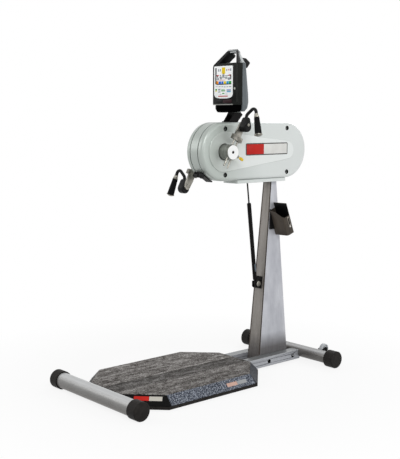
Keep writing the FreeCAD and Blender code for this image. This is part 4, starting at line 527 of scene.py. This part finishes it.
overlay = {
    "left": -0.0850, "right": 0.0520, "bottom": 1.3990, "top": 1.5590, "front": 0.1352, "thick": 0.0004,
    "sunk": 0.001, "cut": 0.004, "footBend": [(0.0, 0.12), (0.05, 0.055), (0.15, 0.018), (0.32, 0.0)],
    "inkSunk": 0.0002, "inkRound": 0.0001,
    "inks": {  # each ink: (left, bottom, right, top) in shares of the overlay
        "black": [(0.067, 0.445, 0.13, 0.95), (0.13, 0.425, 0.93, 0.455), (0.60, 0.69, 0.80, 0.705),
                  (0.30, 0.70, 0.38, 0.72), (0.40, 0.63, 0.60, 0.645), (0.16, 0.655, 0.21, 0.70),
                  (0.87, 0.58, 0.92, 0.73), (0.34, 0.595, 0.42, 0.615), (0.60, 0.60, 0.72, 0.615)],
        "yellow": [(0.42, 0.76, 0.60, 0.955), (0.52, 0.455, 0.65, 0.53), (0.07, 0.215, 0.15, 0.245)],
        "orange": [(0.13, 0.455, 0.235, 0.54), (0.48, 0.75, 0.56, 0.77)],
        "blue": [(0.25, 0.455, 0.385, 0.53), (0.40, 0.455, 0.505, 0.53), (0.68, 0.255, 0.90, 0.275)],
        "cyan": [(0.665, 0.455, 0.785, 0.53), (0.68, 0.19, 0.90, 0.215)],
        "green": [(0.80, 0.455, 0.925, 0.53), (0.07, 0.25, 0.16, 0.30), (0.38, 0.22, 0.60, 0.25),
                  (0.40, 0.27, 0.58, 0.285), (0.44, 0.14, 0.56, 0.17)],
        "red": [(0.14, 0.70, 0.26, 0.73), (0.78, 0.69, 0.92, 0.73), (0.22, 0.055, 0.74, 0.085),
                (0.77, 0.85, 0.82, 0.90), (0.28, 0.56, 0.60, 0.575)],
        "grey": [(0.22, 0.84, 0.27, 0.91), (0.31, 0.84, 0.36, 0.91), (0.66, 0.84, 0.71, 0.90),
                 (0.86, 0.84, 0.92, 0.91), (0.17, 0.565, 0.26, 0.64), (0.44, 0.66, 0.56, 0.74),
                 (0.30, 0.62, 0.40, 0.68), (0.60, 0.63, 0.72, 0.67), (0.74, 0.565, 0.86, 0.64),
                 (0.08, 0.36, 0.20, 0.38), (0.24, 0.36, 0.36, 0.38), (0.40, 0.355, 0.50, 0.375),
                 (0.54, 0.345, 0.63, 0.37), (0.67, 0.345, 0.76, 0.37), (0.80, 0.345, 0.92, 0.37),
                 (0.22, 0.19, 0.34, 0.22), (0.22, 0.25, 0.34, 0.30), (0.68, 0.22, 0.90, 0.245),
                 (0.30, 0.12, 0.40, 0.13), (0.62, 0.13, 0.74, 0.14)],
    },
}
inkTones = {
    "black": (26, 26, 28), "yellow": (240, 208, 20), "orange": (244, 150, 24), "blue": (40, 110, 214),
    "cyan": (24, 164, 214), "green": (44, 160, 60), "red": (196, 60, 66), "grey": (142, 150, 158),
}


def onOverlay(across, up):  # the place at a share of the overlay's width and height
    return (overlay["left"] + across * (overlay["right"] - overlay["left"]),
            overlay["bottom"] + up * (overlay["top"] - overlay["bottom"]))


mesh = bmesh.new()
cut, front = overlay["cut"], overlay["front"]
footBend = overlay["footBend"] + [(1 - across, up) for across, up in reversed(overlay["footBend"])]
addPrism(mesh, [onOverlay(across, up) for across, up in footBend]
         + [(overlay["right"], overlay["top"] - cut), (overlay["right"] - cut, overlay["top"]),
            (overlay["left"] + cut, overlay["top"]), (overlay["left"], overlay["top"] - cut)],
         "Y", front - overlay["thick"], front + overlay["sunk"])
addPiece("console_overlay", mesh, finishes["display"], "console", replaced=["console_display"])
for ink, shapes in overlay["inks"].items():
    mesh = bmesh.new()
    for left, bottom, right, top in shapes:
        (lowAcross, low), (highAcross, high) = onOverlay(left, bottom), onOverlay(right, top)
        addBar(mesh, (lowAcross, front - 2 * overlay["thick"], low),
               (highAcross, front + overlay["inkSunk"], high), overlay["inkRound"], 1)
    addPiece("overlay_" + ink, mesh, makeInk("ink_" + ink, *inkTones[ink]), "console")

# flat trim on the front: left, bottom, right, top, and how far it stands out
trim = {"strip": (-0.0920, 1.3665, 0.0520, 1.3715, 0.0012), "panel": (-0.086, 1.377, -0.026, 1.394, 0.0006),
        "window": (-0.020, 1.377, 0.044, 1.394, 0.0008), "edge": (0.0815, 1.380, 0.0835, 1.566, 0.0003),
        "sunk": 0.002, "round": 0.0002}
# dark ink for the panel and key ring, also used for the pocket's painted shade
dark = makeInk("panelDarkAndPaintedShade", 12, 12, 13)
for name, spot, finish, slot in (
        ("console_light_strip", "strip", makeInk("stripGrey", 150, 150, 146), "bright_steel"),
        ("console_dark_panel", "panel", dark, "black_plastic"),
        ("console_sensor_window", "window", makeInk("windowRed", 40, 12, 18), "display"),
        ("console_edge_line", "edge", makeInk("edgeGrey", 66, 70, 66), "console_bezel")):
    left, bottom, right, top, proud = trim[spot]
    mesh = bmesh.new()
    addBar(mesh, (left, bezel["front"] - proud, bottom), (right, bezel["front"] + trim["sunk"], top),
           trim["round"])
    addPiece(name, mesh, finish, "console")

# dark ring about the round key
mesh = bmesh.new()
addTurned(mesh, [(key["back"], key["bore"]), (key["back"], key["ring"]), (key["front"], key["ring"]),
                 (key["front"], key["bore"]), (key["back"], key["bore"])], key["at"], (0, 1, 0), 40)
addPiece("console_key_ring", mesh, dark, "console")
print("console front dressed")

# rear shell: rounded sections from the seam back, deeper low down, each given by its height, back and inset
shell = {"seam": 0.1705, "left": -0.0930, "right": 0.0850, "corner": 0.016, "steps": 7,
         "sections": [(1.3340, 0.186, 0.006), (1.3450, 0.204, 0), (1.3700, 0.215, 0), (1.4000, 0.214, 0),
                      (1.4600, 0.204, 0), (1.5200, 0.199, 0), (1.5740, 0.1965, 0.006)]}
mesh = bmesh.new()
rings = []
for height, back, inset in shell["sections"]:
    low, high, soft = shell["left"] + inset, shell["right"] - inset, shell["corner"]
    ring = [(low, shell["seam"]), (high, shell["seam"])]
    for centre, start in ((high - soft, 0), (low + soft, 90)):
        for number in range(shell["steps"]):
            angle = math.radians(start + 90 * number / (shell["steps"] - 1))
            ring.append((centre + soft * math.cos(angle), back - soft + soft * math.sin(angle)))
    rings.append([mesh.verts.new((across, along, height)) for across, along in ring])
for low, high in zip(rings, rings[1:]):
    for index in range(len(low)):
        after = (index + 1) % len(low)
        mesh.faces.new([low[index], low[after], high[after], high[index]])
mesh.faces.new(rings[0])
mesh.faces.new(rings[-1])
addPiece("console_shell", mesh, finishes["console_grey"], "console", angle=40.0)

# ribs up the inner side of the carry arch's left leg
arch = {"at": (0, 0.138, 1.572), "lean": -34.4, "foot": (-0.0710, 0.006), "top": (-0.0300, 0.0715),
        "ribs": 7, "sunk": 0.003, "thick": 0.0012, "high": 0.0040, "deep": (0.002, 0.0185), "round": 0.0005}
mesh = bmesh.new()
for number in range(arch["ribs"]):
    share = (number + 0.5) / arch["ribs"]
    across, up = (low + share * (high - low) for low, high in zip(arch["foot"], arch["top"]))
    addBar(mesh, (across - arch["sunk"], arch["deep"][0], up - arch["high"] / 2),
           (across + arch["thick"], arch["deep"][1], up + arch["high"] / 2), arch["round"])
placeAll(mesh, turnPlace(arch["at"], arch["lean"]))
addPiece("console_arch_ribs", mesh, finishes["black_plastic"], "console")

# the arch's deep left leg, which hides the dome's left limb
web = {"outline": [(-0.0815, -0.001), (-0.0560, -0.001), (-0.0480, 0.012), (-0.0250, 0.060),
                   (-0.0160, 0.0725), (-0.0200, 0.0835), (-0.0330, 0.0850), (-0.0450, 0.0690)],
       "deep": (0.0006, 0.0460), "round": 0.002}
mesh = bmesh.new()
addPrism(mesh, web["outline"], "Y", web["deep"][0], web["deep"][1], web["round"])
placeAll(mesh, turnPlace(arch["at"], arch["lean"]))
addPiece("console_arch_web", mesh, finishes["black_plastic"], "console")

# hook behind the dome, for a headset or a towel
hook = {"inner": 0.048, "outer": 0.056, "round": 0.0015,
        "outline": [(0.194, 1.599), (0.222, 1.597), (0.249, 1.578), (0.249, 1.572), (0.230, 1.549),
                    (0.213, 1.551), (0.194, 1.560)]}
mesh = bmesh.new()
addPrism(mesh, hook["outline"], "X", hook["inner"], hook["outer"], hook["round"])
addPiece("console_hook", mesh, finishes["black_plastic"], "console")
print("console dressed")


# Head covers

badge = {"front": 0.215, "length": 0.301, "bottom": 1.1145, "high": 0.061, "face": 0.0664, "margin": 0.005,
         "share": 0.42, "sunk": 0.0002, "proud": 0.0004, "round": 0.0002}
badgeSplit = badge["front"] + badge["length"] * badge["share"]
badgeEnds = {"first": (badge["front"] + badge["margin"], badgeSplit),
             "second": (badgeSplit, badge["front"] + badge["length"] - badge["margin"])}
badgeRed = makeInk("badgeRed", 196, 40, 34)
badgePale = makeInk("badgePale", 226, 226, 222)
for side in (1, -1):
    sideName = "right" if side > 0 else "left"
    xs = sorted((side * (badge["face"] - badge["sunk"]), side * (badge["face"] + badge["proud"])))
    for part, ink in (("first", badgeRed), ("second", badgePale)):
        start, end = badgeEnds[part]
        mesh = bmesh.new()
        addBar(mesh, (xs[0], start, badge["bottom"] + badge["margin"]),
               (xs[1], end, badge["bottom"] + badge["high"] - badge["margin"]), badge["round"])
        addPiece("badge_field_%s_%s" % (part, sideName), mesh, ink, "head")
print("badges dressed")


# A lining of painted shade down a round hole, with a thin lip round its mouth: depth, inner, outer and lip
# radius
def addMouth(mesh, deep, inner, outer, lip, at, axis):
    under, over = 0.0001, 0.0004
    addTurned(mesh, [(-deep, inner), (-deep, outer), (under, outer), (under, lip), (over, lip - 0.0002),
                     (over, inner), (-deep, inner)], at, axis, 32)


# painted shade in the mouths of the screw wells
wells = {"rows": (1.022, 1.250), "places": (0.079, 0.517), "face": 0.061, "deep": 0.009, "inner": 0.0102,
         "outer": 0.0104, "lip": 0.0122}
wellShade = makeInk("wellShade", 24, 27, 25)
for side in (1, -1):
    mesh = bmesh.new()
    for place in wells["places"]:
        for row in wells["rows"]:
            addMouth(mesh, wells["deep"], wells["inner"], wells["outer"], wells["lip"],
                     (side * wells["face"], place, row), (side, 0, 0))
    sideName = "right" if side > 0 else "left"
    addPiece("cover_well_mouths_" + sideName, mesh, wellShade, "head")
print("covers dressed")


# Crank hubs

hub = {"at": (0, 0.071, 1.136), "face": 0.126}
hubDisc = [(0, 0.0075), (0.0008, 0.0085), (0.0012, 0.02), (0.0012, 0.034), (0.0004, 0.035), (-0.002, 0.035)]
hubBolt = [(-0.0028, 0), (0.0004, 0.0002), (0.0008, 0.0045), (0.0002, 0.0055), (-0.0028, 0.0055)]
whiteDisc = makeFinish("whiteDisc", tone(244, 245, 244), tone(250, 251, 250), drift=30.0, grain=900.0,
                       rough=(0.3, 0.4), bump=0.05)
for side in (1, -1):
    sideName = "right" if side > 0 else "left"
    at = Vector(hub["at"]) + Vector((side * hub["face"], 0, 0))
    mesh = bmesh.new()
    addTurned(mesh, hubDisc, at, (side, 0, 0), 64)
    addPiece("hub_disc_" + sideName, mesh, whiteDisc, "crank")
    mesh = bmesh.new()
    addTurned(mesh, hubBolt, at, (side, 0, 0), 32)
    addPiece("hub_bolt_" + sideName, mesh, finishes["black_plastic"], "crank")
print("hubs dressed")


# Column trim

# A thin plate over four corners, given round its edge, that stands out on both sides of them
def addPatch(mesh, corners, lift, outward):
    corners = [Vector(corner) for corner in corners]
    normal = (corners[1] - corners[0]).cross(corners[2] - corners[1]).normalized()
    if normal.dot(Vector(outward)) < 0:
        normal = -normal
    below = [mesh.verts.new(corner - normal * lift) for corner in corners]
    above = [mesh.verts.new(corner + normal * lift) for corner in corners]
    mesh.faces.new(below)
    mesh.faces.new(above)
    for index in range(4):
        after = (index + 1) % 4
        mesh.faces.new([below[index], below[after], above[after], above[index]])


# painted shade lines along the folds of the column's front
column = {"foot": (0.0456, 0.3414, 0.014), "high": (0.0300, 0.4370, 0.980), "from": 0.062, "edge": 0.001,
          "wide": 0.0065, "lift": 0.0003}
paintedFoldShade = makeFinish("paintedFoldShade", tone(46, 39, 33), tone(74, 65, 57), stretch=(1, 1, 0.2), drift=30.0,
                       grain=900.0, rough=(0.4, 0.5), bump=0.05, specular=0.15)
foot, high = Vector(column["foot"]), Vector(column["high"])
low = foot.lerp(high, (column["from"] - foot.z) / (high.z - foot.z))
outer, inner = column["edge"], column["edge"] + column["wide"]
mesh = bmesh.new()
for side in (1, -1):
    edges = ((low, outer), (low, inner), (high, inner), (high, outer))
    addPatch(mesh, [(side * (end.x - inset), end.y, end.z) for end, inset in edges], column["lift"],
             (0, -1, 0))
addPiece("column_fold_shade", mesh, paintedFoldShade, "base")

springFoot = {"at": (0.0112, 0.3630, 0.4350), "profile": [
    (0, 0), (0, 0.014), (0.001, 0.015), (0.005, 0.015), (0.008, 0.011), (0.008, 0.006), (0.006, 0.005),
    (0.006, 0)]}
mesh = bmesh.new()
addTurned(mesh, springFoot["profile"], springFoot["at"], (1, 0, 0), 40)
addPiece("spring_pin_cap", mesh, finishes["bright_steel"], "base")
gasLabel = {"at": (0, 0.352, 0.440), "lean": 6.69, "low": (0.0095, -0.0050, 0.062),
            "high": (0.0112, 0.0050, 0.103), "round": 0.0003}
mesh = bmesh.new()
addBar(mesh, gasLabel["low"], gasLabel["high"], gasLabel["round"])
placeAll(mesh, turnPlace(gasLabel["at"], gasLabel["lean"]))
addPiece("gas_tube_label", mesh, makeInk("labelGrey", 92, 100, 108), "spring_tube")

# the accessory pocket's trim and painted shade, in the leaning pocket's own frame apart from the mount
# plate
pouch = {"at": (0, 0.509, 0.706), "lean": 20.0,
         "inside": ((0.0345, -0.0028, 0.0040), (0.1230, -0.0018, 0.1640)),
         "rim": ((0.1236, -0.0210, 0.046), (0.1258, -0.0070, 0.096)),
         "slot": ((0.1236, -0.0185, 0.052), (0.1262, -0.0100, 0.090)), "round": 0.0006,
         "screw": (0.1256, -0.0140, 0.042),
         "screwProfile": [(0, 0), (0, 0.0050), (0.0012, 0.0044), (0.0012, 0)]}
# a black plate for the pocket's mount, partly painted shade where the column's side lies in the pocket's
# shadow
mountAndShade = {"outline": [(0.4175, 0.722), (0.4640, 0.722), (0.4270, 0.826), (0.4225, 0.828)],
          "inner": 0.0325, "outer": 0.0400, "round": 0.0006}
pouchPlace = turnPlace(pouch["at"], pouch["lean"])
mesh = bmesh.new()
addPrism(mesh, mountAndShade["outline"], "X", mountAndShade["inner"], mountAndShade["outer"], mountAndShade["round"])
addPiece("pocket_mount_and_shade", mesh, finishes["black_plastic"], "base")
# painted shade inside the pocket and down its slot, and a pale rim round the slot
for name, box, round, ink, slot in (
        ("pocket_inner_shade", "inside", 0.0, dark, "pocket_paint"),
        ("pocket_slot_rim", "rim", pouch["round"], makeInk("rimPale", 150, 142, 132), "pocket_paint"),
        ("pocket_slot_shade", "slot", pouch["round"], dark, "black_plastic")):
    mesh = bmesh.new()
    addBar(mesh, *pouch[box], round)
    placeAll(mesh, pouchPlace)
    addPiece(name, mesh, ink, "base")
mesh = bmesh.new()
addTurned(mesh, pouch["screwProfile"], pouch["screw"], (1, 0, 0), 24)
placeAll(mesh, pouchPlace)
addPiece("pocket_screw", mesh, makeInk("screwPale", 214, 212, 206), "base")
print("column dressed")


# Rails and deck

# painted shade in the mouths of the bolt holes
railHoles = {"face": 0.0965, "places": (0.365, 0.544), "height": 0.032, "deep": 0.0029, "inner": 0.0090,
             "outer": 0.0093, "lip": 0.0108}
for side in (1, -1):
    mesh = bmesh.new()
    for place in railHoles["places"]:
        addMouth(mesh, railHoles["deep"], railHoles["inner"], railHoles["outer"], railHoles["lip"],
                 (side * railHoles["face"], place, railHoles["height"]), (side, 0, 0))
    sideName = "right" if side > 0 else "left"
    addPiece("rail_hole_mouths_" + sideName, mesh, wellShade, "base")

# plain label fields on the right side facet and on the cut front corner
facets = {  # upper start, upper end, lower start of each sloping facet, and its outward side
    "side": ((0.268, -0.465, 0.061), (0.268, 0.058, 0.061), (0.302, -0.465, 0.022), (1, 0, 0)),
    "corner": ((0.120, -0.613, 0.061), (0.268, -0.465, 0.061), (0.144, -0.637, 0.022), (1, -1, 0)),
}
labelLift = 0.0006
labels = {  # facet, share along it and down it, from and to, and the colour
    "side_first": ("side", (0.675, 0.36), (0.800, 0.72), (214, 176, 160)),
    "side_second": ("side", (0.802, 0.36), (0.915, 0.72), (168, 170, 172)),
    "corner_first": ("corner", (0.290, 0.150), (0.620, 0.560), (206, 44, 36)),
    "corner_second": ("corner", (0.625, 0.150), (0.910, 0.560), (212, 208, 198)),
}
for name, (facet, (near, over), (far, under), colour) in labels.items():
    start, end, lower, outward = facets[facet]
    start, along, down = Vector(start), Vector(end) - Vector(start), Vector(lower) - Vector(start)
    spots = ((near, over), (far, over), (far, under), (near, under))
    mesh = bmesh.new()
    addPatch(mesh, [start + along * a + down * b for a, b in spots], labelLift, outward)
    addPiece("deck_label_" + name, mesh, makeInk("label_" + name, *colour), "base")
print("deck labels")


# Studio

# 1 for the rays that show a background: straight ones, and those by way of metal or glass
def linkSeen(tree):
    path = tree.nodes.new("ShaderNodeLightPath")
    seen = path.outputs["Is Camera Ray"]
    for ray in ("Is Glossy Ray", "Is Transmission Ray"):
        either = tree.nodes.new("ShaderNodeMath")
        either.operation = "MAXIMUM"
        tree.links.new(seen, either.inputs[0])
        tree.links.new(path.outputs[ray], either.inputs[1])
        seen = either.outputs[0]
    return seen


def makeFloorFinish():
    material = bpy.data.materials.new("paleFloor")
    material.use_nodes = True
    tree = material.node_tree
    tree.nodes.clear()
    out = tree.nodes.new("ShaderNodeOutputMaterial")
    matt = tree.nodes.new("ShaderNodeBsdfDiffuse")
    matt.inputs["Color"].default_value = (0.86, 0.86, 0.86, 1)
    glow = tree.nodes.new("ShaderNodeEmission")
    glow.inputs["Strength"].default_value = 1.0
    coords = tree.nodes.new("ShaderNodeTexCoord").outputs["Object"]
    reach = tree.nodes.new("ShaderNodeVectorMath")
    reach.operation = "LENGTH"
    tree.links.new(coords, reach.inputs[0])
    share = tree.nodes.new("ShaderNodeMath")
    share.operation = "MULTIPLY"
    tree.links.new(linkSpan(tree, reach.outputs["Value"], 0.7, 1.5, 0.86, 1.0), share.inputs[1])
    mix = tree.nodes.new("ShaderNodeMixShader")
    tree.links.new(linkSeen(tree), share.inputs[0])
    tree.links.new(share.outputs[0], mix.inputs["Fac"])
    tree.links.new(matt.outputs[0], mix.inputs[1])
    tree.links.new(glow.outputs[0], mix.inputs[2])
    tree.links.new(mix.outputs[0], out.inputs["Surface"])
    return material


mesh = bmesh.new()
bmesh.ops.create_grid(mesh, x_segments=4, y_segments=4, size=9.0)
data = bpy.data.meshes.new("studioFloor")
mesh.to_mesh(data)
mesh.free()
data.materials.append(makeFloorFinish())
floor = bpy.data.objects.new("studioFloor", data)
scene.collection.objects.link(floor)

world = bpy.data.worlds.new("studio")
world.use_nodes = True
scene.world = world
tree = world.node_tree
background = tree.nodes["Background"]
tree.links.new(linkSpan(tree, linkSeen(tree), 0, 1, 0.42, 1.0), background.inputs["Strength"])
background.inputs["Color"].default_value = (1, 1, 1, 1)

lamps = {  # name: place, size, watts
    "keyLamp": ((3.2, -1.6, 3.2), 1.6, 70),
    "fillLamp": ((-2.8, -3.2, 2.6), 2.2, 36),
    "backLamp": ((-1.2, 3.4, 3.0), 2.0, 44),
    "sideLamp": ((4.2, 1.8, 1.6), 1.8, 28),
}
aim = Vector((0, 0, 0.8))
for name, (at, size, watts) in lamps.items():
    lamp = bpy.data.lights.new(name, "AREA")
    lamp.shape = "SQUARE"
    lamp.size = size
    lamp.energy = watts
    thing = bpy.data.objects.new(name, lamp)
    thing.location = at
    thing.rotation_euler = (aim - Vector(at)).to_track_quat("-Z", "Y").to_euler()
    scene.collection.objects.link(thing)

# the photograph's frame is 400 x 459, so its longer side sets the lens
view = {"at": (3.333, -2.930, 1.305), "azimuth": 49.01, "down": 7.11, "focalPixels": 898.6, "longSide": 459}
camera = bpy.data.cameras.new("viewCamera")
camera.sensor_width = 36.0
camera.lens = 36.0 * view["focalPixels"] / view["longSide"]
camera.clip_end = 60.0
eye = bpy.data.objects.new("viewCamera", camera)
eye.location = view["at"]
eye.rotation_euler = (math.radians(90 - view["down"]), 0, math.radians(view["azimuth"]))
scene.collection.objects.link(eye)
scene.camera = eye
print("studio ready")
